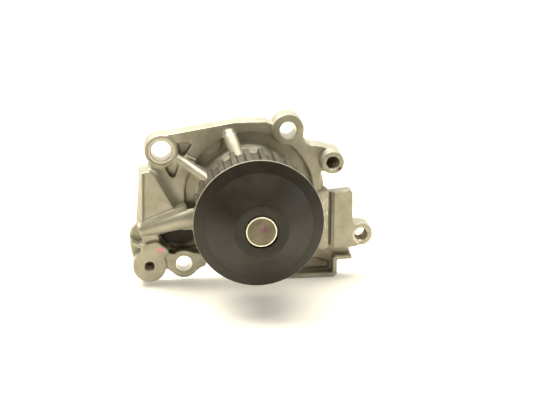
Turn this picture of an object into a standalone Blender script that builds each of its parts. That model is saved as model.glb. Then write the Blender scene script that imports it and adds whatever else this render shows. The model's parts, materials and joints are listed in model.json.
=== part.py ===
"""Water pump with a toothed belt pulley: casting, shaft bearing, mechanical seal and impeller.

The frame: the shaft lies along Y, the mounting face is the plane Y = 0, the pulley points to -Y,
Z is up. Every piece is modelled upright in its own space, where X is across, Y is up and Z is the
height in front of the mounting face, and is then tipped forward by FACE_FORWARD.
"""

import itertools
import math

import bmesh
import bpy
from mathutils import Matrix, Vector

# ---- driving dimensions, in metres; "height" is measured forward from the mounting face ----

CLEARANCE = 0.0003  # gap left between pieces that touch or are pressed together
OVERLAP = 0.001  # how far joined shapes and cutters run past each other

# shaft
SHAFT_RADIUS = 0.007959
SHAFT_REAR_HEIGHT = -0.0150
SHAFT_BELOW_HUB = 0.0002  # the shaft's end face sits this far behind the flange's hub
SHAFT_CHAMFER = 0.0009

# bearing
BEARING_RING_WALL = 0.0024
BEARING_LENGTH = 0.0390
BEARING_BEHIND_WEB = 0.0020  # from the bearing's front end to the pulley's web
BEARING_BEFORE_SEAL = 0.0025  # from the bearing's rear end to the seal cup
BALL_RADIUS = 0.003175
INNER_TRACK_SINK = 0.000534  # how deep the balls sit in the shaft
OUTER_TRACK_SINK = 0.001175  # and in the outer ring
BALLS_PER_ROW = 7
TRACK_STEPS = 2  # straight facets from the middle of a ball track to its edge
BALL_ROW_INSET = 0.0105  # from each end of the bearing to the centre of its row
CAGE_WALL = 0.0018
CAGE_RING_WIDTH = 0.0018
CAGE_STEPS = 6 * BALLS_PER_ROW
LIP_SEAL_WIDTH = 0.0022
LIP_SEAL_INSET = 0.0008
BALL_POCKET_LIP = 0.4  # a cage reaches this share of a ball's radius past the ball's centre

# pulley and its flange
TOOTH_COUNT = 25
TOOTH_PITCH = 0.0080
TOOTH_TIP_BELOW_PITCH = 0.00070
TOOTH_DEPTH = 0.0028
GROOVE_HALF_WIDTH = 0.0024
GROOVE_CORNER_RADIUS = 0.0012
GROOVE_DRAFT = 0.0002  # a groove is this much narrower at its root, on each side
GROOVE_CORNER_STEPS = 3
FIRST_TOOTH_ANGLE = math.radians(154.0)
PULLEY_WIDTH = 0.0305
PULLEY_RIM_WALL = 0.0034
PULLEY_WEB = 0.0045
PULLEY_HUB_WALL = 0.00324
FLANGE_RIM_OVER_TEETH = 0.00237
FLANGE_BAND_WIDTH = 0.0059
FLANGE_BAND_RISE = 0.0025
FLANGE_CONE_RISE = 0.0106
FLANGE_HUB_WALL = 0.00584
FLANGE_THICKNESS = 0.0020
FLANGE_EDGE_THICKNESS = 0.0012
FLANGE_SHAFT_GAP = 0.0006

# housing
PLATE_RADIUS = 0.0410
DRAWN_PLATE_RADIUS = 0.0410  # the casting's outlines are drawn around a plate of this radius
PLATE_HEIGHT = 0.0100
RIGHT_WEB_HEIGHT = 0.0120
FLOOR_HEIGHT = 0.0040
CAST_POCKET_DEPTH = 0.0035
DEEP_POCKET_FLOOR = 0.0018
HOLLOW_WALL = 0.0035
FRONT_RIM_WIDTH = 0.0062  # from the plate's edge to the front pocket
FRONT_POCKET_FLOOR = 0.0068
NOSE_WALL = 0.0058
NOSE_FOOT_INSET = 0.0008
NOSE_CHAMFER = 0.0008
NOSE_BEHIND_PULLEY = 0.0010  # the nose starts to flare this far behind the pulley
NOSE_PAST_BEARING = 0.0006
NOSE_FOOT_RISE = 0.0004
NOSE_FLARE = ((0.08, 0.70), (0.22, 0.36), (0.38, 0.14), (0.56, 0.03), (1.0, 0.0))  # out, up
LEFT_RIB_WIDTH = 0.0046
LEFT_RIB_FOOT_HEIGHT = 0.0112
LEFT_RIB_ANGLES = (151.0, 151.9)  # at the foot and at the nose
LEFT_RIB_REACH = 0.0028  # past the plate's edge
TOP_RIB_WIDTH = 0.0056
TOP_RIB_FOOT_HEIGHT = 0.0120
TOP_RIB_ANGLES = (107.0, 104.6)
TOP_RIB_REACH = -0.0045
SMALL_RIB_WIDTH = 0.0014
SMALL_RIB_FOOT = (-0.0343, 0.0229)
SMALL_RIB_END = (-0.0284, 0.0196)
SMALL_RIB_HEIGHT = 0.0110
LOBE_CENTRE = (-0.0208, 0.0290)
LOBE_RADIUS = 0.0062
SHAPE_SINK = 0.0002  # shapes added over the pocket stop this far under the face beside them
BEHIND = -0.0030  # cutters that open to the rear start here
IN_FRONT = 0.0300  # cutters that open to the front end here
BACK_RIM_WIDTH = 0.0114  # from the plate's edge to the back cavity
BACK_CAVITY_DEPTH = 0.0040
SEAL_GROOVE_INSET = 0.0025
SEAL_GROOVE_WIDTH = 0.0024
SEAL_GROOVE_DEPTH = 0.0022
SEAL_RING_STANDOUT = 0.0005
WEEP_HOLE_RADIUS = 0.0016

# bosses: (across, up), radius and front height
TOP_LEFT_BOSS = (-0.0469, 0.0256)
TOP_LEFT_BOSS_RADIUS = 0.0087
TOP_LEFT_BOSS_HEIGHT = 0.0105
M10_HOLE_RADIUS = 0.0055
SPOTFACE_RADIUS = 0.0071
SPOTFACE_DEPTH = 0.0007
TOP_BOSS = (0.0210, 0.0357)
TOP_BOSS_RADIUS = 0.0086
M8_HOLE_RADIUS = 0.0045
PILLAR = (0.0444, 0.0184)
PILLAR_RADIUS = 0.0062
PILLAR_HEIGHT = 0.0177
M8_TAPPED_RADIUS = 0.0034
PILLAR_HOLE_DEPTH = 0.0140
LOW_LEFT_BOSS = (-0.0546, -0.0387)
LOW_LEFT_BOSS_RADIUS = 0.0091
LOW_LEFT_BOSS_HEIGHT = 0.0120
M6_TAPPED_RADIUS = 0.0027
LOW_LEFT_HOLE_DEPTH = 0.0100
CORNER_RIB_HEIGHT = 0.0095
LOW_BOSS = (-0.0359, -0.0387)
LOW_BOSS_RADIUS = 0.0079
LOW_BOSS_HEIGHT = 0.0100
EAR = (0.0614, -0.0245)
EAR_RADIUS = 0.0065
EAR_HEIGHT = 0.0120
EAR_BACK_HEIGHT = 0.0020

# panel, horn, block and channel
PANEL_HEIGHT = 0.0140
PANEL_EDGE_HEIGHT = 0.0148
PANEL_EDGE_WIDTH = 0.0012
LEDGE_HEIGHT = 0.0152
HORN_START = (-0.0600, -0.0173, 0.0125)
HORN_END = (-0.0240, -0.0090, 0.0120)
HORN_START_RADIUS = 0.0036
HORN_END_RADIUS = 0.0069
BLOCK_HEIGHT = 0.0135
BLOCK_SHOULDER_HEIGHT = 0.0126
BLOCK_RELIEF_HEIGHT = 0.0056  # the upper end of the block stands clear of the mounting face
BLOCK_RIDGE_HEIGHT = 0.0125
BLOCK_VALLEY_HEIGHT = 0.0105
CHANNEL_RECESS_FLOOR = 0.0020
NECK_WEB_HEIGHT = 0.0106
CHANNEL_RIM_HEIGHT = 0.0085
CHANNEL_RIM_WIDTH = 0.0026
BASE_INSET = 0.0004  # the floor stays this far inside the outlines of what stands on it

# mechanical seal
SEAL_CUP_WALL = 0.0009
SEAL_CUP_HEIGHT = 0.0105
SEAL_CUP_SHAFT_GAP = 0.00204
SEAL_CUP_LIP = 0.0018
SPRING_OUTSIDE_GAP = 0.0025  # from the middle of the wire to the cup's outside
SPRING_INSIDE_GAP = 0.0018  # from the bellows to the middle of the wire
SPRING_WIRE_RADIUS = 0.0007
SPRING_TURNS = 3
SPRING_STEPS_PER_TURN = 16
BELLOWS_OVER_CARBON = 0.0009
BELLOWS_WALL = 0.0006
BELLOWS_FOLD = 0.0004
BELLOWS_FOLDS = 2
SPRING_SEAT_HEIGHT = 0.0030
SPRING_SEAT_THICKNESS = 0.0008
CARBON_SHAFT_GAP = 0.00134
CARBON_WALL = 0.0037
CARBON_LENGTH = 0.0078
SEAL_FACE_HEIGHT = -0.0012
SEAT_RING_SHAFT_GAP = 0.00164
SEAT_RING_WALL = 0.0044
SEAT_RING_LENGTH = 0.0030
SEAT_CUP_BACK = 0.0008
SEAT_CUP_BELOW_FACE = 0.0006

# impeller
IMPELLER_CAVITY_GAP = 0.0026
IMPELLER_DISC_HEIGHT = -0.0061
IMPELLER_DISC_THICKNESS = 0.0022
IMPELLER_HUB_WALL = 0.00354
IMPELLER_REAR_HEIGHT = -0.0143
VANE_COUNT = 6
VANE_STEPS = 7
VANE_ROOT_DEPTH = 0.0012  # how far a vane starts inside the hub
VANE_TIP_INSET = 0.0004
VANE_HALF_CHORD = 0.00117  # half of a vane's cut along the circle, for a vane 1.8 mm thick
VANE_SWEEP = math.radians(58.0)

FACE_FORWARD = (math.radians(90.0), 0.0, 0.0)
ROUND_STEPS = 40

PART_NAME = "water_pump"


# ---- scene and object helpers ----


def clear_scene():
    for old in list(bpy.data.objects):
        bpy.data.objects.remove(old, do_unlink=True)


def new_collection(name):
    collection = bpy.data.collections.new(name)
    bpy.context.scene.collection.children.link(collection)
    return collection


def finish_material(name, colour, metallic, roughness):
    material = bpy.data.materials.new(name)
    material.use_nodes = True
    shader = material.node_tree.nodes["Principled BSDF"]
    shader.inputs["Base Color"].default_value = (*colour, 1.0)
    shader.inputs["Metallic"].default_value = metallic
    shader.inputs["Roughness"].default_value = roughness
    return material


def stand(obj, collection):
    """Links an object that was modelled upright and tips it so that its height points forward."""
    collection.objects.link(obj)
    obj.rotation_euler = FACE_FORWARD
    return obj


def as_part(obj, material):
    obj.data.materials.clear()
    obj.data.materials.append(material)
    return obj


def as_guide(obj):
    obj.hide_render = True
    obj.display_type = "WIRE"
    return obj


def mesh_object(name, bm, collection):
    mesh = bpy.data.meshes.new(name)
    bmesh.ops.recalc_face_normals(bm, faces=bm.faces[:])
    bm.to_mesh(mesh)
    bm.free()
    return stand(bpy.data.objects.new(name, mesh), collection)


def cylinder(name, collection, radius, low, high, centre=(0.0, 0.0), steps=ROUND_STEPS, top=None):
    """A round bar along the height, from low to high; top gives it another radius at its high end."""
    bm = bmesh.new()
    middle = Matrix.Translation((centre[0], centre[1], (low + high) / 2))
    bmesh.ops.create_cone(
        bm,
        cap_ends=True,
        segments=steps,
        radius1=radius,
        radius2=radius if top is None else top,
        depth=high - low,
        matrix=middle,
    )
    return mesh_object(name, bm, collection)


def rod(name, collection, start, end, start_radius, end_radius, steps=32):
    """A round or tapered bar between two points."""
    a, b = Vector(start), Vector(end)
    turn = (b - a).to_track_quat("Z", "Y").to_matrix().to_4x4()
    bm = bmesh.new()
    bmesh.ops.create_cone(
        bm,
        cap_ends=True,
        segments=steps,
        radius1=start_radius,
        radius2=end_radius,
        depth=(b - a).length,
        matrix=Matrix.Translation((a + b) / 2) @ turn,
    )
    return mesh_object(name, bm, collection)


def welded_mesh(curve_object, name, collection):
    """Turns a curve object into a closed mesh object and removes the curve."""
    bpy.context.view_layer.update()
    evaluated = curve_object.evaluated_get(bpy.context.evaluated_depsgraph_get())
    mesh = bpy.data.meshes.new_from_object(evaluated)
    place = curve_object.matrix_world.copy()
    bpy.data.objects.remove(curve_object, do_unlink=True)
    bm = bmesh.new()
    bm.from_mesh(mesh)
    bmesh.ops.remove_doubles(bm, verts=bm.verts[:], dist=0.000001)
    bmesh.ops.recalc_face_normals(bm, faces=bm.faces[:])
    bm.to_mesh(mesh)
    bm.free()
    mesh.name = name
    obj = bpy.data.objects.new(name, mesh)
    collection.objects.link(obj)
    obj.matrix_world = place
    return obj


def slab(name, collection, outline, low, high):
    """A flat plate with the given outline of (across, up) points, from height low to high."""
    curve = bpy.data.curves.new(name, "CURVE")
    curve.dimensions = "2D"
    curve.fill_mode = "BOTH"
    curve.extrude = (high - low) / 2
    line = curve.splines.new("POLY")
    line.points.add(len(outline) - 1)
    for point, (across, up) in zip(line.points, outline):
        point.co = (across, up, 0.0, 1.0)
    line.use_cyclic_u = True
    flat = stand(bpy.data.objects.new(name, curve), collection)
    flat.location = (0.0, -(low + high) / 2, 0.0)
    return welded_mesh(flat, name, collection)


def turn_outline(name, collection, points, closed, steps):
    """Turns an outline of (radius, height) points about the height axis. A closed outline makes a
    ring, an open one that starts and ends on the axis makes a solid. The outer side runs from top
    to bottom."""
    mesh = bpy.data.meshes.new(name)
    count = len(points)
    edges = [(i, (i + 1) % count) for i in range(count if closed else count - 1)]
    mesh.from_pydata([(radius, 0.0, height) for radius, height in points], edges, [])
    obj = stand(bpy.data.objects.new(name, mesh), collection)
    screw = obj.modifiers.new("Turn", "SCREW")
    screw.axis = "Z"
    screw.steps = steps
    screw.render_steps = steps
    screw.use_merge_vertices = True
    screw.merge_threshold = 0.00001
    screw.use_smooth_shade = collection.name == PART_NAME
    return obj


def turned(name, collection, profile, steps=ROUND_STEPS):
    return turn_outline(name, collection, profile, True, steps)


def turned_bar(name, collection, profile, steps=ROUND_STEPS):
    """A solid bar turned from the open profile of its outer side, top to bottom."""
    line = [(0.0, profile[0][1])] + profile + [(0.0, profile[-1][1])]
    return turn_outline(name, collection, line, False, steps)


def combine(base, other, operation, label):
    step = base.modifiers.new(label, "BOOLEAN")
    step.operation = operation
    step.object = other
    step.solver = "EXACT"
    as_guide(other)


def arc(centre, radius, start, end, steps):
    """Points on a circle from angle start to angle end, in degrees."""
    points = []
    for i in range(steps + 1):
        angle = math.radians(start + (end - start) * i / steps)
        points.append((centre[0] + radius * math.cos(angle), centre[1] + radius * math.sin(angle)))
    return points


def polar(radius, degrees):
    angle = math.radians(degrees)
    return (radius * math.cos(angle), radius * math.sin(angle))


# ---- sizes worked out from the driving dimensions ----

BALL_CIRCLE_RADIUS = SHAFT_RADIUS + BALL_RADIUS - INNER_TRACK_SINK
BEARING_BORE_RADIUS = BALL_CIRCLE_RADIUS + BALL_RADIUS - OUTER_TRACK_SINK
BEARING_RADIUS = BEARING_BORE_RADIUS + BEARING_RING_WALL
BEARING_REAR_HEIGHT = SEAL_CUP_HEIGHT + BEARING_BEFORE_SEAL
BEARING_FRONT_HEIGHT = BEARING_REAR_HEIGHT + BEARING_LENGTH
FRONT_ROW_HEIGHT = BEARING_FRONT_HEIGHT - BALL_ROW_INSET
REAR_ROW_HEIGHT = BEARING_REAR_HEIGHT + BALL_ROW_INSET
TRACK_RADIUS = BALL_RADIUS + CLEARANCE
BORE_FOR_SHAFT = SHAFT_RADIUS + CLEARANCE
PITCH_RADIUS = TOOTH_COUNT * TOOTH_PITCH / (2 * math.pi)
TOOTH_TIP_RADIUS = PITCH_RADIUS - TOOTH_TIP_BELOW_PITCH
TOOTH_ROOT_RADIUS = TOOTH_TIP_RADIUS - TOOTH_DEPTH
PULLEY_BORE_RADIUS = TOOTH_ROOT_RADIUS - PULLEY_RIM_WALL
PULLEY_HUB_RADIUS = BORE_FOR_SHAFT + PULLEY_HUB_WALL
PULLEY_WEB_REAR = BEARING_FRONT_HEIGHT + BEARING_BEHIND_WEB
PULLEY_FRONT_HEIGHT = PULLEY_WEB_REAR + PULLEY_WEB
PULLEY_REAR_HEIGHT = PULLEY_FRONT_HEIGHT - PULLEY_WIDTH
FLANGE_RIM_RADIUS = TOOTH_TIP_RADIUS + FLANGE_RIM_OVER_TEETH
FLANGE_RIM_HEIGHT = PULLEY_FRONT_HEIGHT + CLEARANCE + FLANGE_EDGE_THICKNESS
FLANGE_BAND_INNER_RADIUS = FLANGE_RIM_RADIUS - FLANGE_BAND_WIDTH
FLANGE_BAND_HEIGHT = FLANGE_RIM_HEIGHT + FLANGE_BAND_RISE
FLANGE_HUB_RADIUS = SHAFT_RADIUS + FLANGE_HUB_WALL
FLANGE_HUB_HEIGHT = FLANGE_BAND_HEIGHT + FLANGE_CONE_RISE
SHAFT_FRONT_HEIGHT = FLANGE_HUB_HEIGHT - SHAFT_BELOW_HUB
PULLEY_HUB_HEIGHT = FLANGE_HUB_HEIGHT - FLANGE_THICKNESS - CLEARANCE
NOSE_RADIUS = BEARING_RADIUS + NOSE_WALL
NOSE_SHOULDER_HEIGHT = PULLEY_REAR_HEIGHT - NOSE_BEHIND_PULLEY
FRONT_POCKET_RADIUS = PLATE_RADIUS - FRONT_RIM_WIDTH
NOSE_FOOT_RADIUS = FRONT_POCKET_RADIUS - NOSE_FOOT_INSET
BACK_CAVITY_RADIUS = PLATE_RADIUS - BACK_RIM_WIDTH
SEAL_GROOVE_RADIUS = BACK_CAVITY_RADIUS + SEAL_GROOVE_INSET
IMPELLER_RADIUS = BACK_CAVITY_RADIUS - IMPELLER_CAVITY_GAP
IMPELLER_HUB_RADIUS = BORE_FOR_SHAFT + IMPELLER_HUB_WALL
CARBON_INNER_RADIUS = SHAFT_RADIUS + CARBON_SHAFT_GAP
CARBON_OUTER_RADIUS = CARBON_INNER_RADIUS + CARBON_WALL
SEAT_RING_INNER_RADIUS = SHAFT_RADIUS + SEAT_RING_SHAFT_GAP
SEAT_RING_OUTER_RADIUS = SEAT_RING_INNER_RADIUS + SEAT_RING_WALL
BELLOWS_RADIUS = CARBON_OUTER_RADIUS + BELLOWS_OVER_CARBON
SPRING_RADIUS = BELLOWS_RADIUS + SPRING_INSIDE_GAP
SEAL_CUP_RADIUS = SPRING_RADIUS + SPRING_OUTSIDE_GAP
SEAL_CUP_BORE_RADIUS = SHAFT_RADIUS + SEAL_CUP_SHAFT_GAP
SEAL_CUP_INNER_RADIUS = SEAL_CUP_RADIUS - SEAL_CUP_WALL
SEAL_BORE_RADIUS = SEAL_CUP_RADIUS + CLEARANCE
SEAL_BORE_HEIGHT = SEAL_CUP_HEIGHT + CLEARANCE
SEAT_RING_FRONT = SEAL_FACE_HEIGHT - CLEARANCE
SEAT_RING_REAR = SEAT_RING_FRONT - SEAT_RING_LENGTH


# ---- shaft and bearing ----


def track(row_height, radius_at_middle, bulge):
    """Points of a ball track in a turned profile, from its high side to its low side. bulge is -1
    where the track sinks towards the axis and +1 where it sinks outwards."""
    depth = abs(radius_at_middle - BALL_CIRCLE_RADIUS)
    half_angle = math.acos(depth / TRACK_RADIUS)
    points = []
    for i in range(2 * TRACK_STEPS + 1):
        angle = half_angle * (1 - i / TRACK_STEPS)
        radius = BALL_CIRCLE_RADIUS + bulge * TRACK_RADIUS * math.cos(angle)
        points.append((radius, row_height + TRACK_RADIUS * math.sin(angle)))
    return points


def shaft_profile():
    points = [(SHAFT_RADIUS - SHAFT_CHAMFER, SHAFT_FRONT_HEIGHT)]
    points.append((SHAFT_RADIUS, SHAFT_FRONT_HEIGHT - SHAFT_CHAMFER))
    for row in (FRONT_ROW_HEIGHT, REAR_ROW_HEIGHT):
        points += track(row, SHAFT_RADIUS, -1)
    points.append((SHAFT_RADIUS, SHAFT_REAR_HEIGHT + SHAFT_CHAMFER))
    points.append((SHAFT_RADIUS - SHAFT_CHAMFER, SHAFT_REAR_HEIGHT))
    return points


def build_shaft(parts, steel):
    return as_part(turned_bar("pump_shaft", parts, shaft_profile(), 36), steel)


def build_outer_ring(parts, steel):
    outer, front, rear = BEARING_RADIUS, BEARING_FRONT_HEIGHT, BEARING_REAR_HEIGHT
    profile = [(outer, front), (outer, rear), (BEARING_BORE_RADIUS, rear)]
    for row in (REAR_ROW_HEIGHT, FRONT_ROW_HEIGHT):
        profile += track(row, BEARING_BORE_RADIUS, 1)[::-1]
    profile.append((BEARING_BORE_RADIUS, front))
    return as_part(turned("bearing_outer_ring", parts, profile, 42), steel)


def row_of_balls(parts, steel, label, row_height):
    bm = bmesh.new()
    bmesh.ops.create_icosphere(bm, subdivisions=2, radius=BALL_RADIUS)
    mesh = bpy.data.meshes.new(label + "_ball")
    bm.to_mesh(mesh)
    bm.free()
    mesh.shade_smooth()
    mesh.materials.append(steel)
    for i in range(BALLS_PER_ROW):
        angle = 2 * math.pi * i / BALLS_PER_ROW
        ball = bpy.data.objects.new(f"{label}_ball_{i + 1}", mesh)
        parts.objects.link(ball)
        across = BALL_CIRCLE_RADIUS * math.cos(angle)
        up = BALL_CIRCLE_RADIUS * math.sin(angle)
        ball.location = (across, -row_height, up)


def build_cage(parts, cutters, polyamide, label, row_height, open_side):
    """A crown cage: a ring beside the balls with pockets that open to one side."""
    half = BALL_RADIUS + CLEARANCE + CAGE_RING_WIDTH
    low = row_height - (half if open_side > 0 else BALL_RADIUS * BALL_POCKET_LIP)
    high = row_height + (half if open_side < 0 else BALL_RADIUS * BALL_POCKET_LIP)
    inner = BALL_CIRCLE_RADIUS - CAGE_WALL / 2
    outer = BALL_CIRCLE_RADIUS + CAGE_WALL / 2
    profile = [(outer, high), (outer, low), (inner, low), (inner, high)]
    cage = as_part(turned(f"{label}_ball_cage", parts, profile, CAGE_STEPS), polyamide)
    for i in range(BALLS_PER_ROW):
        angle = 2 * math.pi * i / BALLS_PER_ROW
        reach = CAGE_WALL * 2
        inside, outside = BALL_CIRCLE_RADIUS - reach, BALL_CIRCLE_RADIUS + reach
        start = (inside * math.cos(angle), inside * math.sin(angle), row_height)
        end = (outside * math.cos(angle), outside * math.sin(angle), row_height)
        radius = BALL_RADIUS + CLEARANCE
        pocket = rod(f"{label}_cage_pocket_{i + 1}", cutters, start, end, radius, radius, 16)
        combine(cage, pocket, "DIFFERENCE", f"Pocket {i + 1}")
    return cage


def build_lip_seal(parts, rubber, label, outside_height, towards_middle):
    """A flat lip seal just inside one end of the bearing."""
    near = outside_height + towards_middle * LIP_SEAL_INSET
    far = near + towards_middle * LIP_SEAL_WIDTH
    low, high = min(near, far), max(near, far)
    outer = BEARING_BORE_RADIUS - CLEARANCE
    profile = [(outer, high), (outer, low), (BORE_FOR_SHAFT, low), (BORE_FOR_SHAFT, high)]
    return as_part(turned(f"{label}_bearing_seal", parts, profile, 40), rubber)


def build_bearing(parts, cutters, mats):
    build_outer_ring(parts, mats["bearing_steel"])
    for label, row, side in (("front", FRONT_ROW_HEIGHT, -1), ("rear", REAR_ROW_HEIGHT, 1)):
        row_of_balls(parts, mats["ball_steel"], label, row)
        build_cage(parts, cutters, mats["cage_polyamide"], label, row, -side)
    build_lip_seal(parts, mats["seal_rubber"], "front", BEARING_FRONT_HEIGHT, -1)
    build_lip_seal(parts, mats["seal_rubber"], "rear", BEARING_REAR_HEIGHT, 1)


# ---- pulley and flange ----


def tooth_outline():
    """The toothed outline: flat lands and round-cornered grooves, one pair per pitch."""
    step = 2 * math.pi / TOOTH_COUNT
    edge = GROOVE_HALF_WIDTH / TOOTH_TIP_RADIUS
    corner_up = TOOTH_ROOT_RADIUS + GROOVE_CORNER_RADIUS
    wall = GROOVE_HALF_WIDTH - GROOVE_DRAFT
    down = range(GROOVE_CORNER_STEPS + 1)
    points = []
    for tooth in range(TOOTH_COUNT):
        middle = FIRST_TOOTH_ANGLE + (tooth + 0.5) * step
        points.append((TOOTH_TIP_RADIUS, middle - edge))
        for side, turns in ((-1, down), (1, reversed(down))):
            for i in turns:
                angle = math.radians(90 * i / GROOVE_CORNER_STEPS)
                offset = wall - GROOVE_CORNER_RADIUS * (1 - math.cos(angle))
                radius = corner_up - GROOVE_CORNER_RADIUS * math.sin(angle)
                points.append((radius, middle + side * offset / radius))
        points.append((TOOTH_TIP_RADIUS, middle + edge))
    return [(r * math.cos(a), r * math.sin(a)) for r, a in points]


def build_pulley(parts, cutters, steel):
    pulley = slab("drive_pulley", parts, tooth_outline(), PULLEY_REAR_HEIGHT, PULLEY_FRONT_HEIGHT)
    as_part(pulley, steel)
    hub = cylinder(
        "pulley_hub", cutters, PULLEY_HUB_RADIUS, PULLEY_WEB_REAR + OVERLAP, PULLEY_HUB_HEIGHT
    )
    combine(pulley, hub, "UNION", "Hub")
    low = PULLEY_REAR_HEIGHT - OVERLAP
    hollow = cylinder("pulley_hollow", cutters, PULLEY_BORE_RADIUS, low, PULLEY_WEB_REAR)
    combine(pulley, hollow, "DIFFERENCE", "Hollow")
    high = PULLEY_HUB_HEIGHT + OVERLAP
    bore = cylinder("pulley_bore", cutters, BORE_FOR_SHAFT, low, high, steps=40)
    combine(pulley, bore, "DIFFERENCE", "Bore")
    return pulley


def build_flange(parts, black):
    bore = SHAFT_RADIUS + FLANGE_SHAFT_GAP
    slope = (FLANGE_HUB_HEIGHT - FLANGE_BAND_HEIGHT) / (FLANGE_BAND_INNER_RADIUS - FLANGE_HUB_RADIUS)
    back_step = FLANGE_THICKNESS * math.tan(math.atan(slope) / 2)
    thick = FLANGE_THICKNESS
    profile = [
        (bore, FLANGE_HUB_HEIGHT),
        (FLANGE_HUB_RADIUS, FLANGE_HUB_HEIGHT),
        (FLANGE_BAND_INNER_RADIUS, FLANGE_BAND_HEIGHT),
        (FLANGE_RIM_RADIUS, FLANGE_RIM_HEIGHT),
        (FLANGE_RIM_RADIUS, FLANGE_RIM_HEIGHT - FLANGE_EDGE_THICKNESS),
        (FLANGE_BAND_INNER_RADIUS - back_step, FLANGE_BAND_HEIGHT - thick),
        (FLANGE_HUB_RADIUS - back_step, FLANGE_HUB_HEIGHT - thick),
        (bore, FLANGE_HUB_HEIGHT - thick),
    ]
    return as_part(turned("front_flange", parts, profile, 60), black)


# ---- housing ----


def set_out(point):
    """Moves a drawn point away from the shaft by as much as the plate is larger than drawn."""
    place = Vector(point)
    place *= 1 + (PLATE_RADIUS - DRAWN_PLATE_RADIUS) / max(place.length, DRAWN_PLATE_RADIUS / 2)
    return (place.x, place.y)


def cast_slab(name, cutters, outline, low, high):
    """A slab of the casting, whose outline follows the plate's radius."""
    return slab(name, cutters, [set_out(point) for point in outline], low, high)


def plate_outline():
    """The flat front level: round plate, top-left boss and the web behind the panel."""
    outline = arc(TOP_LEFT_BOSS, TOP_LEFT_BOSS_RADIUS + 0.0003, 76, 228, 14)
    outline += [(-0.0526, 0.0165), (-0.0570, 0.0146), (-0.0575, -0.0130), (-0.0480, -0.0185)]
    outline += arc((0.0, 0.0), DRAWN_PLATE_RADIUS, 206, 436, 44)
    outline += [(0.0098, 0.0402), (-0.0078, 0.0402), (-0.0127, 0.0394)]
    return outline


def right_web_outline():
    """The raised level on the right: top boss, neck to the pillar and the right edge."""
    outline = arc(TOP_BOSS, TOP_BOSS_RADIUS, 200, -12, 20)
    outline += [(0.0294, 0.0310), (0.0305, 0.0286), (0.0330, 0.0270), (0.0392, 0.0262)]
    outline += [(0.0440, 0.0246), (0.0440, 0.0122), (0.0392, 0.0122), (0.0388, 0.0100)]
    outline += [(0.0390, 0.0020), (0.0400, -0.0080)]
    inside_pocket = DRAWN_PLATE_RADIUS - FRONT_RIM_WIDTH - 0.0014
    outline += arc((0.0, 0.0), inside_pocket, -12, 46, 12)
    return outline


def base_outline():
    """The thin floor under everything: left side, lower bosses and the lower right channel."""
    outline = arc(TOP_LEFT_BOSS, TOP_LEFT_BOSS_RADIUS - 0.001, 90, 215, 10)
    outline += [(-0.0540, 0.0158), (-0.0589, 0.0148), (-0.0592, 0.0080), (-0.0611, -0.0170)]
    outline += [(-0.0640, -0.0196), (-0.0652, -0.0240), (-0.0648, -0.0300)]
    outline += arc(LOW_LEFT_BOSS, LOW_LEFT_BOSS_RADIUS - BASE_INSET, 172, 330, 14)
    outline += arc(LOW_BOSS, LOW_BOSS_RADIUS - BASE_INSET, 218, 318, 10)
    outline += [(-0.0270, -0.0418), (-0.0238, -0.0398), (-0.0150, -0.0385)]
    outline += arc((0.0, 0.0), DRAWN_PLATE_RADIUS - 0.001, 250, 290, 8)
    outline += [(0.0184, -0.0498)] + arc((0.0466, -0.0478), CHANNEL_RIM_WIDTH - BASE_INSET, 270, 360, 5)
    outline += [(0.0488, -0.0398), (0.0572, -0.0398), (0.0566, -0.0360), (0.0558, -0.0300)]
    outline += [(0.0445, -0.0080), (0.0330, 0.0), (0.0, 0.0), (-0.0250, 0.0300)]
    return outline


def panel_outline():
    return [(-0.0576, 0.0150), (-0.0534, 0.0158), (-0.0506, 0.0129), (-0.0404, -0.0066),
            (-0.0404, -0.0120), (-0.0590, -0.0170), (-0.0585, -0.0122)]


def panel_edge_outline():
    wide = PANEL_EDGE_WIDTH
    return [(-0.0580, 0.0149), (-0.0580 + wide, 0.0149), (-0.0588 + wide, -0.0150),
            (-0.0588, -0.0150)]


def left_wall_outline():
    """The drafted side under the panel, stepped out behind it."""
    return [(-0.0582, 0.0148), (-0.0530, 0.0150), (-0.0500, -0.0180), (-0.0600, -0.0190),
            (-0.0598, -0.0100)]


def low_left_outline():
    """Lower-left boss and the neck that runs up to the horn."""
    outline = arc(LOW_LEFT_BOSS, LOW_LEFT_BOSS_RADIUS, 120, 398, 26)
    outline += [(-0.0459, -0.0336), (-0.0440, -0.0312), (-0.0449, -0.0288), (-0.0480, -0.0264)]
    outline += [(-0.0502, -0.0245), (-0.0529, -0.0247), (-0.0569, -0.0260), (-0.0588, -0.0278)]
    return outline


def corner_rib_outline():
    """A narrow rib from the lower-left neck out to the corner."""
    return [(-0.0648, -0.0238), (-0.0600, -0.0268), (-0.0585, -0.0266), (-0.0585, -0.0290),
            (-0.0600, -0.0290), (-0.0646, -0.0256)]


def low_boss_outline():
    outline = arc(LOW_BOSS, LOW_BOSS_RADIUS, 218, 318, 12)
    outline += [(-0.0272, -0.0416), (-0.0240, -0.0402), (-0.0230, -0.0360), (-0.0262, -0.0334)]
    outline += [(-0.0294, -0.0325), (-0.0330, -0.0322), (-0.0398, -0.0327), (-0.0444, -0.0322)]
    outline += [(-0.0474, -0.0345), (-0.0470, -0.0400)]
    return outline


def horn_foot_outline():
    """The web that carries the horn and closes the dark pocket on its upper side."""
    return [(-0.0606, -0.0150), (-0.0330, -0.0050), (-0.0280, -0.0060), (-0.0280, -0.0150),
            (-0.0400, -0.0178), (-0.0500, -0.0207), (-0.0592, -0.0210)]


def neck_web_outline():
    """The web that joins the horn to the lower-left neck."""
    return [(-0.0594, -0.0190), (-0.0498, -0.0190), (-0.0488, -0.0264), (-0.0578, -0.0270)]


def ledge_outline():
    """The lip above the horn, in front of the panel's lower edge."""
    return [(-0.0586, -0.0122), (-0.0400, -0.0055), (-0.0330, -0.0030), (-0.0300, -0.0085),
            (-0.0590, -0.0185)]


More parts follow.
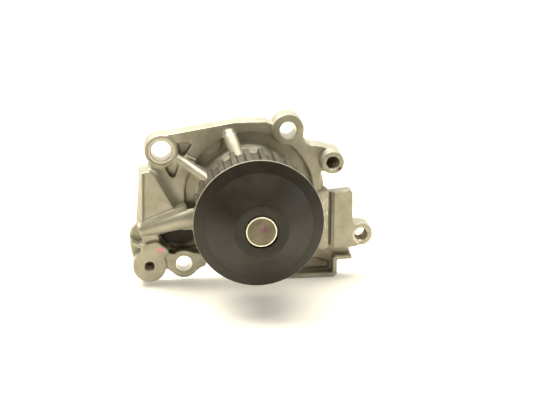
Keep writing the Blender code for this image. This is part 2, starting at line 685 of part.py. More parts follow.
def block_outline():
    """The raised block on the right with its round upper corner, joined to the ear."""
    outline = [(0.0462, -0.0312), (0.0462, 0.0006)]
    outline += arc((0.0543, -0.0008), 0.0022, 90, 0, 5)
    outline += [(0.0566, -0.0165)] + [(0.0580, -0.0186), (0.0600, -0.0182)]
    outline += [(0.0600, -0.0308), (0.0550, -0.0316)]
    return outline


def ridge_outline():
    return [(0.0386, 0.0012), (0.0400, 0.0022), (0.0424, 0.0022), (0.0434, 0.0008),
            (0.0434, -0.0312), (0.0405, -0.0330), (0.0330, -0.0290), (0.0330, 0.0)]


def shoulder_outline():
    """The step on the left side of the block."""
    return [(0.0446, 0.0004), (0.0474, 0.0004), (0.0474, -0.0310), (0.0446, -0.0310)]


def valley_outline():
    return [(0.0400, 0.0002), (0.0470, 0.0002), (0.0470, -0.0308), (0.0400, -0.0308)]


def channel_rim_outline():
    """The rim that bounds the channel: lower run, right wall and upper ledge."""
    wide = CHANNEL_RIM_WIDTH
    outline = [(0.0180, -0.0504)] + arc((0.0466, -0.0478), wide, 270, 360, 5)
    outline += [(0.0492, -0.0404), (0.0577, -0.0402), (0.0572, -0.0376), (0.0480, -0.0376)]
    outline += [(0.0468, -0.0390), (0.0466, -0.0476), (0.0180, -0.0476)]
    return outline


def lobe_outline():
    return arc(LOBE_CENTRE, LOBE_RADIUS, 20, 380, 24)[:-1]


def front_pocket_profile():
    """The ring-shaped pocket around the bearing nose."""
    top = RIGHT_WEB_HEIGHT + 0.003
    inner = NOSE_RADIUS + 0.004
    floor = FRONT_POCKET_FLOOR
    outer = FRONT_POCKET_RADIUS
    return [(outer, top), (outer, floor), (inner, floor), (inner, top)]


def nose_profile():
    """The bearing housing: a straight nose inside the pulley that flares out to the plate."""
    low = FRONT_POCKET_FLOOR - OVERLAP
    shoulder = NOSE_SHOULDER_HEIGHT
    front = BEARING_FRONT_HEIGHT + NOSE_PAST_BEARING
    points = [(NOSE_RADIUS - NOSE_CHAMFER, front), (NOSE_RADIUS, front - NOSE_CHAMFER)]
    points.append((NOSE_RADIUS, shoulder + 0.003))
    foot = NOSE_FOOT_RADIUS
    for share, rise in NOSE_FLARE:
        radius = NOSE_RADIUS + share * (foot - NOSE_RADIUS)
        height = FRONT_POCKET_FLOOR + NOSE_FOOT_RISE + rise * (shoulder - FRONT_POCKET_FLOOR)
        points.append((radius, height))
    points.append((foot, low))
    return points


def radial_rib(name, cutters, start, end, start_height, end_height, width):
    """A round-topped rib that climbs from the plate to the bearing nose."""
    radius = width / 2
    a = (*start, start_height - radius)
    b = (*end, end_height - radius)
    return rod(name, cutters, a, b, radius, radius, 20)


def rib_web(name, cutters, start, end, start_height, end_height, width):
    """The flat web under a rib, closed down into the plate."""
    run = Vector((end[0] - start[0], end[1] - start[1]))
    side = Vector((-run.y, run.x)).normalized() * (width / 2)
    low = FLOOR_HEIGHT + OVERLAP
    bm = bmesh.new()
    rows = []
    for point, high in ((start, start_height - width / 2), (end, end_height - width / 2)):
        here = Vector(point)
        left, right = here + side, here - side
        rows.append([(left, low), (right, low), (right, high), (left, high)])
    made = [[bm.verts.new((p.x, p.y, h)) for p, h in row] for row in rows]
    bm.faces.new(made[0])
    bm.faces.new(made[1][::-1])
    for i in range(4):
        j = (i + 1) % 4
        bm.faces.new([made[0][j], made[0][i], made[1][i], made[1][j]])
    return mesh_object(name, bm, cutters)


def raised_shapes(cutters):
    """Everything that is joined to the plate, in order. Each shape reaches a little further behind
    the mounting face than the one before, so no two rear faces share a plane until it is cut."""
    lows = (-OVERLAP - 0.0003 * i for i in itertools.count())
    plate_top = PLATE_HEIGHT - 0.0006
    yield cylinder("round_plate", cutters, PLATE_RADIUS - 0.0005, next(lows), plate_top, steps=60)
    yield cast_slab("base_floor", cutters, base_outline(), next(lows), FLOOR_HEIGHT)
    yield cast_slab("left_wall", cutters, left_wall_outline(), next(lows), PANEL_HEIGHT - 0.0040)
    yield cast_slab("panel", cutters, panel_outline(), next(lows), PANEL_HEIGHT)
    yield cast_slab("panel_edge", cutters, panel_edge_outline(), next(lows), PANEL_EDGE_HEIGHT)
    yield cast_slab("ledge", cutters, ledge_outline(), next(lows), LEDGE_HEIGHT)
    yield cast_slab("horn_foot", cutters, horn_foot_outline(), next(lows), HORN_START[2])
    start = (*set_out(HORN_START[:2]), HORN_START[2])
    end = (*set_out(HORN_END[:2]), HORN_END[2])
    yield rod("horn", cutters, start, end, HORN_START_RADIUS, HORN_END_RADIUS)
    radius, top = TOP_LEFT_BOSS_RADIUS, TOP_LEFT_BOSS_HEIGHT
    yield cylinder("top_left_boss", cutters, radius, next(lows), top, set_out(TOP_LEFT_BOSS))
    yield cast_slab("right_web", cutters, right_web_outline(), next(lows), RIGHT_WEB_HEIGHT)
    place = set_out(PILLAR)
    yield cylinder("pillar", cutters, PILLAR_RADIUS, next(lows), PILLAR_HEIGHT, place, 36)
    yield cast_slab("low_left_boss", cutters, low_left_outline(), next(lows), LOW_LEFT_BOSS_HEIGHT)
    yield cast_slab("corner_rib", cutters, corner_rib_outline(), next(lows), CORNER_RIB_HEIGHT)
    yield cast_slab("neck_web", cutters, neck_web_outline(), next(lows), NECK_WEB_HEIGHT)
    yield cast_slab("low_boss", cutters, low_boss_outline(), next(lows), LOW_BOSS_HEIGHT)
    yield cast_slab("block_ridge", cutters, ridge_outline(), next(lows), BLOCK_RIDGE_HEIGHT)
    yield cast_slab("block_valley", cutters, valley_outline(), next(lows), BLOCK_VALLEY_HEIGHT)
    shoulder = BLOCK_SHOULDER_HEIGHT
    yield cast_slab("block_shoulder", cutters, shoulder_outline(), next(lows), shoulder)
    yield cast_slab("block", cutters, block_outline(), next(lows), BLOCK_HEIGHT)
    yield cylinder("ear", cutters, EAR_RADIUS, EAR_BACK_HEIGHT, EAR_HEIGHT, set_out(EAR), 36)
    yield cast_slab("channel_rim", cutters, channel_rim_outline(), next(lows), CHANNEL_RIM_HEIGHT)


def ribs(cutters):
    """The ribs that climb the bearing nose, and what reaches over the pocket: lobe and top boss."""
    end_radius = NOSE_RADIUS - CLEARANCE
    left = (
        polar(PLATE_RADIUS + LEFT_RIB_REACH, LEFT_RIB_ANGLES[0]),
        polar(end_radius, LEFT_RIB_ANGLES[1]),
        LEFT_RIB_FOOT_HEIGHT,
        NOSE_SHOULDER_HEIGHT,
        LEFT_RIB_WIDTH,
    )
    top = (
        polar(PLATE_RADIUS + TOP_RIB_REACH, TOP_RIB_ANGLES[0]),
        polar(end_radius, TOP_RIB_ANGLES[1]),
        TOP_RIB_FOOT_HEIGHT,
        NOSE_SHOULDER_HEIGHT + 0.001,
        TOP_RIB_WIDTH,
    )
    foot, end = set_out(SMALL_RIB_FOOT), set_out(SMALL_RIB_END)
    small = (foot, end, SMALL_RIB_HEIGHT, SMALL_RIB_HEIGHT, SMALL_RIB_WIDTH)
    for name, rib in (("left_rib", left), ("top_rib", top), ("small_rib", small)):
        yield radial_rib(name, cutters, *rib)
        yield rib_web(name + "_web", cutters, *rib)
    low = FRONT_POCKET_FLOOR - 0.002
    yield cast_slab("lobe", cutters, lobe_outline(), low, PLATE_HEIGHT - SHAPE_SINK)
    place = set_out(TOP_BOSS)
    high = RIGHT_WEB_HEIGHT - SHAPE_SINK
    yield cylinder("top_boss", cutters, TOP_BOSS_RADIUS, low, high, place, 40)


def pocket_cutters(cutters):
    """Shallow cast pockets in the upper left web."""
    upper = [(-0.0385, 0.0298), (-0.0321, 0.0306), (-0.0304, 0.0285), (-0.0346, 0.0227),
             (-0.0373, 0.0230)]
    lower = [(-0.0450, 0.0166), (-0.0374, 0.0181), (-0.0396, 0.0114), (-0.0413, 0.0107),
             (-0.0430, 0.0122)]
    under_horn = [(-0.0484, -0.0232), (-0.0462, -0.0262), (-0.0436, -0.0292), (-0.0426, -0.0308),
                  (-0.0380, -0.0316), (-0.0300, -0.0312), (-0.0266, -0.0300), (-0.0256, -0.0266),
                  (-0.0312, -0.0190), (-0.0400, -0.0196)]
    in_channel = [(0.0210, -0.0464), (0.0452, -0.0464), (0.0452, -0.0425), (0.0374, -0.0402),
                  (0.0250, -0.0414)]
    top = IN_FRONT
    yield cast_slab("upper_pocket", cutters, upper, PLATE_HEIGHT - CAST_POCKET_DEPTH, top)
    yield cast_slab("lower_pocket", cutters, lower, PLATE_HEIGHT - CAST_POCKET_DEPTH, top)
    yield cast_slab("horn_pocket", cutters, under_horn, DEEP_POCKET_FLOOR, top)
    yield cast_slab("channel_recess", cutters, in_channel, CHANNEL_RECESS_FLOOR, top)


def rear_hollows(cutters):
    """Cast hollows behind the panel and the block, and the relief above the block's hollow."""
    behind_panel = [(-0.0560, 0.0120), (-0.0450, 0.0120), (-0.0425, -0.0050), (-0.0440, -0.0135),
                    (-0.0570, -0.0135)]
    behind_block = [(0.0440, -0.0048), (0.0536, -0.0048), (0.0536, -0.0280), (0.0440, -0.0280)]
    above_block = [(0.0416, -0.0016), (0.0600, -0.0016), (0.0600, 0.0040), (0.0416, 0.0040)]
    panel_depth, block_depth = PLATE_HEIGHT - HOLLOW_WALL, BLOCK_VALLEY_HEIGHT - HOLLOW_WALL
    yield cast_slab("panel_hollow", cutters, behind_panel, BEHIND, panel_depth)
    yield cast_slab("block_hollow", cutters, behind_block, BEHIND, block_depth)
    yield cast_slab("block_relief", cutters, above_block, BEHIND, BLOCK_RELIEF_HEIGHT)


def hole_cutters(cutters):
    """Bolt holes, tapped holes and their seats: centre, radius and the height of the bottom."""
    through = BEHIND
    holes = (
        ("m10_hole", TOP_LEFT_BOSS, M10_HOLE_RADIUS, through, 32),
        ("m10_seat", TOP_LEFT_BOSS, SPOTFACE_RADIUS, TOP_LEFT_BOSS_HEIGHT - SPOTFACE_DEPTH, 40),
        ("top_hole", TOP_BOSS, M8_HOLE_RADIUS, through, 28),
        ("low_hole", LOW_BOSS, M8_HOLE_RADIUS, through, 28),
        ("ear_hole", EAR, M8_TAPPED_RADIUS, through, 24),
        ("pillar_hole", PILLAR, M8_TAPPED_RADIUS, PILLAR_HEIGHT - PILLAR_HOLE_DEPTH, 24),
        (
            "low_left_hole",
            LOW_LEFT_BOSS,
            M6_TAPPED_RADIUS,
            LOW_LEFT_BOSS_HEIGHT - LOW_LEFT_HOLE_DEPTH,
            24,
        ),
    )
    for name, centre, radius, bottom, steps in holes:
        yield cylinder(name, cutters, radius, bottom, IN_FRONT, set_out(centre), steps)


def bore_cutters(cutters):
    """Bores on the shaft's axis, front to rear, then the weep hole and the groove."""
    high = BEARING_FRONT_HEIGHT + 0.003
    back = BEHIND
    snug = BEARING_RADIUS + CLEARANCE
    yield cylinder("bearing_bore", cutters, snug, BEARING_REAR_HEIGHT - CLEARANCE, high)
    yield cylinder("shoulder_bore", cutters, BEARING_BORE_RADIUS, back, BEARING_REAR_HEIGHT + OVERLAP)
    yield cylinder("seal_bore", cutters, SEAL_BORE_RADIUS, back, SEAL_BORE_HEIGHT)
    yield cylinder("back_cavity", cutters, BACK_CAVITY_RADIUS, back, BACK_CAVITY_DEPTH, steps=56)
    middle = (SEAL_BORE_HEIGHT + BEARING_REAR_HEIGHT) / 2
    start, end = (0.0, -SEAL_BORE_RADIUS / 2, middle), (0.0, -PLATE_RADIUS - 0.007, middle)
    yield rod("weep_hole", cutters, start, end, WEEP_HOLE_RADIUS, WEEP_HOLE_RADIUS, 12)
    inner, outer = SEAL_GROOVE_RADIUS, SEAL_GROOVE_RADIUS + SEAL_GROOVE_WIDTH
    depth = SEAL_GROOVE_DEPTH
    groove = [(outer, depth), (outer, back), (inner, back), (inner, depth)]
    yield turned("seal_groove", cutters, groove, 56)


def build_housing(parts, cutters, aluminium):
    housing = cast_slab("pump_housing", parts, plate_outline(), -OVERLAP * 0.8, PLATE_HEIGHT)
    as_part(housing, aluminium)
    for i, shape in enumerate(raised_shapes(cutters)):
        combine(housing, shape, "UNION", f"Raise {i + 1}")
    pocket = turned("front_pocket", cutters, front_pocket_profile(), 60)
    combine(housing, pocket, "DIFFERENCE", "Front pocket")
    for i, shape in enumerate(pocket_cutters(cutters)):
        combine(housing, shape, "DIFFERENCE", f"Cast pocket {i + 1}")
    for i, shape in enumerate(rear_hollows(cutters)):
        combine(housing, shape, "DIFFERENCE", f"Rear hollow {i + 1}")
    combine(housing, turned_bar("nose", cutters, nose_profile(), 56), "UNION", "Nose")
    for i, shape in enumerate(ribs(cutters)):
        combine(housing, shape, "UNION", f"Rib {i + 1}")
    for i, shape in enumerate(bore_cutters(cutters)):
        combine(housing, shape, "DIFFERENCE", f"Bore {i + 1}")
    for i, shape in enumerate(hole_cutters(cutters)):
        combine(housing, shape, "DIFFERENCE", f"Hole {i + 1}")
    wide = 0.1
    square = [(-wide, -wide), (wide, -wide), (wide, wide), (-wide, wide)]
    face = slab("mounting_face", cutters, square, -0.01, 0.0)
    combine(housing, face, "DIFFERENCE", "Mounting face")
    return housing


def build_housing_seal(parts, rubber):
    inner = SEAL_GROOVE_RADIUS + CLEARANCE
    outer = SEAL_GROOVE_RADIUS + SEAL_GROOVE_WIDTH - CLEARANCE
    high = SEAL_GROOVE_DEPTH - CLEARANCE
    low = -SEAL_RING_STANDOUT
    soft = SEAL_RING_STANDOUT
    profile = [
        (outer, high),
        (outer, low + soft),
        (outer - soft, low),
        (inner + soft, low),
        (inner, low + soft),
        (inner, high),
    ]
    return as_part(turned("housing_seal_ring", parts, profile, 56), rubber)


# ---- mechanical seal ----


def build_seal_cup(parts, steel):
    outer, inner, bore = SEAL_CUP_RADIUS, SEAL_CUP_INNER_RADIUS, SEAL_CUP_BORE_RADIUS
    top, wall = SEAL_CUP_HEIGHT, SEAL_CUP_WALL
    seat = BACK_CAVITY_DEPTH - CLEARANCE
    lip = outer + SEAL_CUP_LIP
    profile = [
        (bore, top),
        (outer, top),
        (outer, seat),
        (lip, seat),
        (lip, seat - wall),
        (inner, seat - wall),
        (inner, top - wall),
        (bore, top - wall),
    ]
    return as_part(turned("seal_cup", parts, profile), steel)


def build_bellows(parts, rubber):
    """A thin folded sleeve between the cup's end wall and the spring seat."""
    top = SEAL_CUP_HEIGHT - SEAL_CUP_WALL - CLEARANCE
    low = SPRING_SEAT_HEIGHT + CLEARANCE
    count = BELLOWS_FOLDS * 2
    outer, inner = [], []
    for i in range(count + 1):
        height = top + (low - top) * i / count
        fold = BELLOWS_FOLD if i % 2 else 0.0
        outer.append((BELLOWS_RADIUS + fold, height))
        inner.append((BELLOWS_RADIUS - BELLOWS_WALL + fold, height))
    return as_part(turned("seal_bellows", parts, outer + inner[::-1], 32), rubber)


def build_spring(parts, steel):
    """A coil from the cup's end wall to the spring seat, as a round wire along a helix."""
    top = SEAL_CUP_HEIGHT - SEAL_CUP_WALL - CLEARANCE - SPRING_WIRE_RADIUS
    low = SPRING_SEAT_HEIGHT + CLEARANCE + SPRING_WIRE_RADIUS
    count = SPRING_TURNS * SPRING_STEPS_PER_TURN
    curve = bpy.data.curves.new("seal_spring", "CURVE")
    curve.dimensions = "3D"
    curve.bevel_depth = SPRING_WIRE_RADIUS
    curve.bevel_resolution = 2
    curve.use_fill_caps = True
    line = curve.splines.new("POLY")
    line.points.add(count)
    for i, point in enumerate(line.points):
        angle = 2 * math.pi * i / SPRING_STEPS_PER_TURN
        height = low + (top - low) * i / count
        across, up = SPRING_RADIUS * math.cos(angle), SPRING_RADIUS * math.sin(angle)
        point.co = (across, up, height, 1.0)
    coil = stand(bpy.data.objects.new("seal_spring", curve), parts)
    return as_part(welded_mesh(coil, "seal_spring", parts), steel)


def build_seal_faces(parts, mats):
    seat_top = SPRING_SEAT_HEIGHT
    seat_low = seat_top - SPRING_SEAT_THICKNESS
    inner, outer = CARBON_OUTER_RADIUS + CLEARANCE, SEAL_CUP_INNER_RADIUS - CLEARANCE
    ring = [(outer, seat_top), (outer, seat_low), (inner, seat_low), (inner, seat_top)]
    as_part(turned("seal_spring_seat", parts, ring), mats["plated_steel"])
    low, high = SEAL_FACE_HEIGHT, SEAL_FACE_HEIGHT + CARBON_LENGTH
    inner, outer = CARBON_INNER_RADIUS, CARBON_OUTER_RADIUS
    carbon = [(outer, high), (outer, low), (inner, low), (inner, high)]
    as_part(turned("carbon_face_ring", parts, carbon), mats["carbon"])
    low, high = SEAT_RING_REAR, SEAT_RING_FRONT
    inner, outer = SEAT_RING_INNER_RADIUS, SEAT_RING_OUTER_RADIUS
    ceramic = [(outer, high), (outer, low), (inner, low), (inner, high)]
    as_part(turned("ceramic_seat_ring", parts, ceramic), mats["ceramic"])
    back = SEAT_RING_REAR - CLEARANCE
    sleeve = SEAT_RING_INNER_RADIUS - CLEARANCE
    cup = [
        (sleeve, high - SEAT_CUP_BELOW_FACE),
        (sleeve, back),
        (outer, back),
        (outer, back - SEAT_CUP_BACK),
        (BORE_FOR_SHAFT, back - SEAT_CUP_BACK),
        (BORE_FOR_SHAFT, high - SEAT_CUP_BELOW_FACE),
    ]
    as_part(turned("seat_rubber_cup", parts, cup), mats["seal_rubber"])


# ---- impeller ----


def vane_outline(index):
    """One backward-swept vane, a curved strip of constant thickness."""
    start_radius = IMPELLER_HUB_RADIUS - VANE_ROOT_DEPTH
    end_radius = IMPELLER_RADIUS - VANE_TIP_INSET
    first = 2 * math.pi * index / VANE_COUNT
    sides = ([], [])
    for i in range(VANE_STEPS + 1):
        share = i / VANE_STEPS
        radius = start_radius + (end_radius - start_radius) * share
        middle = first - VANE_SWEEP * share
        half = VANE_HALF_CHORD / radius
        for side, sign in zip(sides, (-1, 1)):
            angle = middle + sign * half
            side.append((radius * math.cos(angle), radius * math.sin(angle)))
    return sides[0] + sides[1][::-1]


def build_impeller(parts, cutters, plastic):
    front, rear = IMPELLER_DISC_HEIGHT, IMPELLER_REAR_HEIGHT
    back = front - IMPELLER_DISC_THICKNESS
    impeller = cylinder("impeller", parts, IMPELLER_RADIUS, back, front, steps=56)
    as_part(impeller, plastic)
    hub = cylinder("impeller_hub", cutters, IMPELLER_HUB_RADIUS, rear - 0.0003, front - 0.0005)
    combine(impeller, hub, "UNION", "Hub")
    for i in range(VANE_COUNT):
        vane = slab(f"vane_{i + 1}", cutters, vane_outline(i), rear, back + 0.0010)
        combine(impeller, vane, "UNION", f"Vane {i + 1}")
    low, high = rear - 0.002, front + 0.002
    bore = cylinder("impeller_bore", cutters, BORE_FOR_SHAFT, low, high, steps=40)
    combine(impeller, bore, "DIFFERENCE", "Bore")
    return impeller


# ---- the whole pump ----


def make_materials():
    table = (
        ("cast_aluminium", (0.44, 0.40, 0.31), 0.75, 0.48),
        ("bearing_steel", (0.55, 0.55, 0.54), 1.0, 0.25),
        ("ball_steel", (0.70, 0.70, 0.70), 1.0, 0.12),
        ("shaft_steel", (0.42, 0.39, 0.31), 0.9, 0.42),
        ("sintered_steel", (0.20, 0.18, 0.14), 0.7, 0.50),
        ("black_oxide", (0.035, 0.030, 0.022), 0.6, 0.45),
        ("plated_steel", (0.60, 0.58, 0.52), 1.0, 0.30),
        ("spring_steel", (0.45, 0.45, 0.46), 1.0, 0.30),
        ("cage_polyamide", (0.60, 0.56, 0.44), 0.0, 0.50),
        ("seal_rubber", (0.015, 0.015, 0.015), 0.0, 0.70),
        ("carbon", (0.020, 0.020, 0.022), 0.1, 0.40),
        ("ceramic", (0.78, 0.75, 0.68), 0.0, 0.20),
        ("impeller_plastic", (0.030, 0.029, 0.028), 0.0, 0.55),
    )
    return {name: finish_material(name, colour, metal, rough) for name, colour, metal, rough in table}


def main():
    clear_scene()
    parts = new_collection(PART_NAME)
    cutters = new_collection("cutters")
    mats = make_materials()
    build_housing(parts, cutters, mats["cast_aluminium"])
    build_housing_seal(parts, mats["seal_rubber"])
    build_bearing(parts, cutters, mats)
    build_shaft(parts, mats["shaft_steel"])
    build_pulley(parts, cutters, mats["sintered_steel"])
    build_flange(parts, mats["black_oxide"])
    build_seal_cup(parts, mats["plated_steel"])
    build_bellows(parts, mats["seal_rubber"])
    build_spring(parts, mats["spring_steel"])
    build_seal_faces(parts, mats)
    build_impeller(parts, cutters, mats["impeller_plastic"])


main()
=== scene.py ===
"""Looks of a belt-driven coolant pump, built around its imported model.

The casting is softened as a mould leaves it and then cut where a real one is machined. Every turned
piece is turned again from its own profile with rounded corners. The teeth, the spring and the balls
are made anew at a finer step, and the impeller and the cages get rounded edges. Sizes are in metres
in the frame of the model: the shaft lies along Y, the flange points to -Y, the mounting face is
Y = 0 and Z is up.
"""

import json
import math

import bmesh
import bpy
from mathutils import Matrix, Vector


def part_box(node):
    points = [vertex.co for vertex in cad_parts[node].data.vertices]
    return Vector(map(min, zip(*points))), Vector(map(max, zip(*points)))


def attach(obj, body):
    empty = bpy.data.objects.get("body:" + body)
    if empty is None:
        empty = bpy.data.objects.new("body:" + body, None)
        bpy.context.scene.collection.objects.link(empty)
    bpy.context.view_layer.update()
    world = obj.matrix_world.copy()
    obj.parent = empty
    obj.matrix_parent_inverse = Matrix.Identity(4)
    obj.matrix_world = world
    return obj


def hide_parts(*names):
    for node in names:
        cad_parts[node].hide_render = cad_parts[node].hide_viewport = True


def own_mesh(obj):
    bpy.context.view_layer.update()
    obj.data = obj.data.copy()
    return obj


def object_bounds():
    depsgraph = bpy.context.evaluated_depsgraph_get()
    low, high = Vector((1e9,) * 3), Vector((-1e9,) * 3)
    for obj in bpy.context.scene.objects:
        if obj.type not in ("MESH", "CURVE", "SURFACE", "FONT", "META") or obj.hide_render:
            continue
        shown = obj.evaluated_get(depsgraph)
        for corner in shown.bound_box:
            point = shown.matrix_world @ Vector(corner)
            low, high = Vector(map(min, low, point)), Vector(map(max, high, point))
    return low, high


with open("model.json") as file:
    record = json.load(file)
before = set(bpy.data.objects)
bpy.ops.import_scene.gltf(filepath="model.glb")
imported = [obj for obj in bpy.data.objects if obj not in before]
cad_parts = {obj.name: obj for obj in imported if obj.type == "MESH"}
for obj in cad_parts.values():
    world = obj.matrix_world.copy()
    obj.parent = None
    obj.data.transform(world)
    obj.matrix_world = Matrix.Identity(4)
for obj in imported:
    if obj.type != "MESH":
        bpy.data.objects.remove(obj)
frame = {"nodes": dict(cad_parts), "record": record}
cad_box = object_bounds()

MM = 0.001
GAP = 0.0003  # what the model leaves between pieces that touch

# camera and light
VIEW_AZIMUTH = math.radians(-6.44)
VIEW_ELEVATION = math.radians(17.78)
VIEW_DISTANCE = 0.700
VIEW_TARGET = Vector((0.0, -0.060, 0.0))
VIEW_RIGHT = 0.0041
VIEW_UP = 0.0121
LENS = 93.1
FLOOR_SIZE = 12.0
WORLD_FRONT = 0.16
WORLD_BACK = 1.3

# casting
CAST_VOXEL = 0.00045
CAST_SMOOTH_STEPS = 4
CAST_TRIANGLES = 150000
REAR_STOCK = 0.0012  # metal left behind the mounting face until it is milled
MOUTH_CHAMFER = 0.0005
THREAD_STEPS_PER_TURN = 8
CAVITY_RADIUS = 0.0296
CAVITY_DEPTH = 0.0040
CAVITY_PLUG_RADIUS = 0.0308
BEARING_SHOULDER_RADIUS = 0.0126
SEAL_BORE_RADIUS = 0.0182
SEAL_GROOVE_INNER = 0.0321
SEAL_GROOVE_OUTER = 0.0345
SEAL_GROOVE_DEPTH = 0.0022
WEEP_RADIUS = 0.0016
M10_SEAT_RADIUS = 0.0071
BLOCK_FACE = -0.0135
EJECTOR_PIN_CENTRE = (0.0507, -0.0229)
EJECTOR_PIN_INNER = 0.0023
EJECTOR_PIN_OUTER = 0.0026
BEHIND = 0.002  # cutters that open to the rear end here
FRONT_AIR = 0.010  # drills start this far in front of their seat
# each hole: name, mount on its face, opening, boss radius and rear end, core radius, thread depth
# and pitch, rear end
M8_THREAD = (0.0033, 0.0006, 0.00125)
M6_THREAD = (0.0026, 0.0004, 0.0010)
HOLES = (
    ("m10", "m10_bolt_face", "m10_bolt_hole", 0.0087, -0.0004, 0.0055, 0, 0, REAR_STOCK * 2),
    ("top", "top_bolt_face", "top_bolt_hole", 0.0086, -0.0004, 0.0045, 0, 0, REAR_STOCK * 2),
    ("low", "low_bolt_face", "low_bolt_hole", 0.0079, -0.0004, 0.0045, 0, 0, REAR_STOCK * 2),
    ("ear", "ear_face", "ear_tapped_hole", 0.0065, -0.0020, *M8_THREAD, 0.001),
    ("pillar", "pillar_face", "pillar_tapped_hole", 0.0062, -0.0004, *M8_THREAD, -0.0037),
    ("low_left", "low_left_face", None, 0.0091, -0.0004, *M6_THREAD, -0.0020),
)
LOW_LEFT_HOLE_RISE = 0.0060  # from the mount's point up to the hole's centre
# the rounded tops of the ribs: name, foot and end as radius, angle and y, and their two radii
RIB_SKINS = (
    ("left_rib", (0.0427, 151.0, -0.0096), (0.0205, 151.9, -0.0247), 0.0027, 0.0025),
    ("top_rib", (0.0336, 107.0, -0.0116), (0.0205, 104.6, -0.0252), 0.0036, 0.0029),
)

# pulley
TIP_UNDER_FLANGE = 0.00237
HUB_WALL = 0.00324
PULLEY_WEB = 0.0045
PULLEY_RIM = 0.0034
TOOTH_COUNT = 25
FIRST_TOOTH = math.radians(154.0)
TOOTH_DEPTH = 0.0028
GROOVE_HALF_WIDTH = 0.0024
GROOVE_DRAFT = 0.0002
GROOVE_CORNER = 0.0012
LAND_CORNER = 0.0005
TOOTH_END_CHAMFER = 0.0004

# shaft, balls, spring and seal face
FINE_CHAMFER = 0.0003
BALLS_PER_ROW = 7
SPRING_TURNS = 3
SPRING_WIRE_RADIUS = 0.0007

BODY_OF = {
    node: body
    for body, nodes in frame["record"]["behaviour"]["bodies"].items()
    for node in nodes
}
SLOT_OF = {part["node"]: part["material_slot"] for part in frame["record"]["subparts"]}


# ---- colours and node trees ----


def linear(code):
    """An sRGB hex colour as a linear RGBA value."""
    parts = [int(code[i : i + 2], 16) / 255 for i in (1, 3, 5)]
    return (*(p / 12.92 if p <= 0.04045 else ((p + 0.055) / 1.055) ** 2.4 for p in parts), 1.0)


def add(tree, kind, inputs=None, links=None, **settings):
    """Adds one node with its settings, its constant inputs and the outputs that feed it."""
    made = tree.nodes.new("ShaderNode" + kind)
    for name, value in settings.items():
        setattr(made, name, value)
    for name, value in (inputs or {}).items():
        made.inputs[name].default_value = value
    for name, output in (links or {}).items():
        tree.links.new(output, made.inputs[name])
    return made


def new_finish(name, colour, metallic, roughness, **more):
    """A material with its Principled shader, and object coordinates in millimetres."""
    finish = bpy.data.materials.new(name)
    finish.use_nodes = True
    tree = finish.node_tree
    shader = tree.nodes["Principled BSDF"]
    shader.inputs["Base Color"].default_value = linear(colour)
    shader.inputs["Metallic"].default_value = metallic
    shader.inputs["Roughness"].default_value = roughness
    for key, value in more.items():
        shader.inputs[key.replace("_", " ")].default_value = value
    place = add(tree, "TexCoord")
    space = add(
        tree,
        "Mapping",
        {"Scale": (1 / MM, 1 / MM, 1 / MM)},
        {"Vector": place.outputs["Object"]},
    )
    return finish, tree, shader, space.outputs["Vector"]


def grain(tree, space, size_mm, detail=3.0, roughness=0.55):
    """A noise whose features are about size_mm across."""
    inputs = {"Scale": 1 / size_mm, "Detail": detail, "Roughness": roughness}
    return add(tree, "TexNoise", inputs, {"Vector": space}).outputs["Fac"]


def between(tree, fac, low, high, low_at=0.35, high_at=0.65):
    """A colour that goes from one hex value to another as fac rises."""
    ramp = add(tree, "ValToRGB", links={"Fac": fac})
    for stop, at, code in zip(ramp.color_ramp.elements, (low_at, high_at), (low, high)):
        stop.position = at
        stop.color = linear(code)
    return ramp.outputs["Color"]


def remap(tree, value, low, high, new_low, new_high):
    """Takes a value from one range to another and keeps it inside the new one."""
    inputs = {"From Min": low, "From Max": high, "To Min": new_low, "To Max": new_high}
    return add(tree, "MapRange", inputs, {"Value": value}).outputs["Result"]


def blend(tree, fac, first, second):
    """Mixes two colours; each is an output or a hex value."""
    mix = add(tree, "Mix", links={0: fac}, data_type="RGBA")
    for slot, colour in ((6, first), (7, second)):
        if isinstance(colour, str):
            mix.inputs[slot].default_value = linear(colour)
        else:
            tree.links.new(colour, mix.inputs[slot])
    return mix.outputs[2]


def bump(tree, shader, height, strength, depth_mm, under=None):
    """Raises the surface by a height in millimetres, on top of the bump under it."""
    links = {"Height": height}
    if under is not None:
        links["Normal"] = under
    made = add(tree, "Bump", {"Strength": strength, "Distance": depth_mm * MM}, links)
    tree.links.new(made.outputs["Normal"], shader.inputs["Normal"])
    return made.outputs["Normal"]


def openness(tree, reach_mm, inside=False):
    """1 on open faces; low in hollow corners, or on outer edges when it looks inside."""
    inputs = {"Distance": reach_mm * MM}
    made = add(tree, "AmbientOcclusion", inputs, inside=inside, only_local=True, samples=8)
    return made.outputs["AO"]


def spot(tree, space, centre_mm, size_mm, softness=0.25, uneven_by=0.9):
    """1 inside an ellipsoid around a point, 0 outside, with an uneven edge."""
    wobble = add(tree, "TexNoise", {"Scale": 1 / 1.1, "Detail": 2.0}, {"Vector": space})
    apart = add(tree, "VectorMath", {1: centre_mm}, {0: space}, operation="SUBTRACT")
    scaled = add(tree, "VectorMath", {1: size_mm}, {0: apart.outputs[0]}, operation="DIVIDE")
    far = add(tree, "VectorMath", links={0: scaled.outputs[0]}, operation="LENGTH")
    uneven = add(tree, "Math", {1: 0.5}, {0: wobble.outputs["Fac"]}, operation="SUBTRACT")
    edge = add(
        tree,
        "Math",
        {1: uneven_by},
        {0: uneven.outputs[0], 2: far.outputs["Value"]},
        operation="MULTIPLY_ADD",
    )
    return remap(tree, edge.outputs[0], 1.0, 1.0 - softness, 0.0, 1.0)


def axis_distance(tree, space):
    """The distance from the shaft's axis, in millimetres."""
    flat = add(tree, "VectorMath", {1: (1.0, 0.0, 1.0)}, {0: space}, operation="MULTIPLY")
    return add(tree, "VectorMath", links={0: flat.outputs[0]}, operation="LENGTH").outputs["Value"]


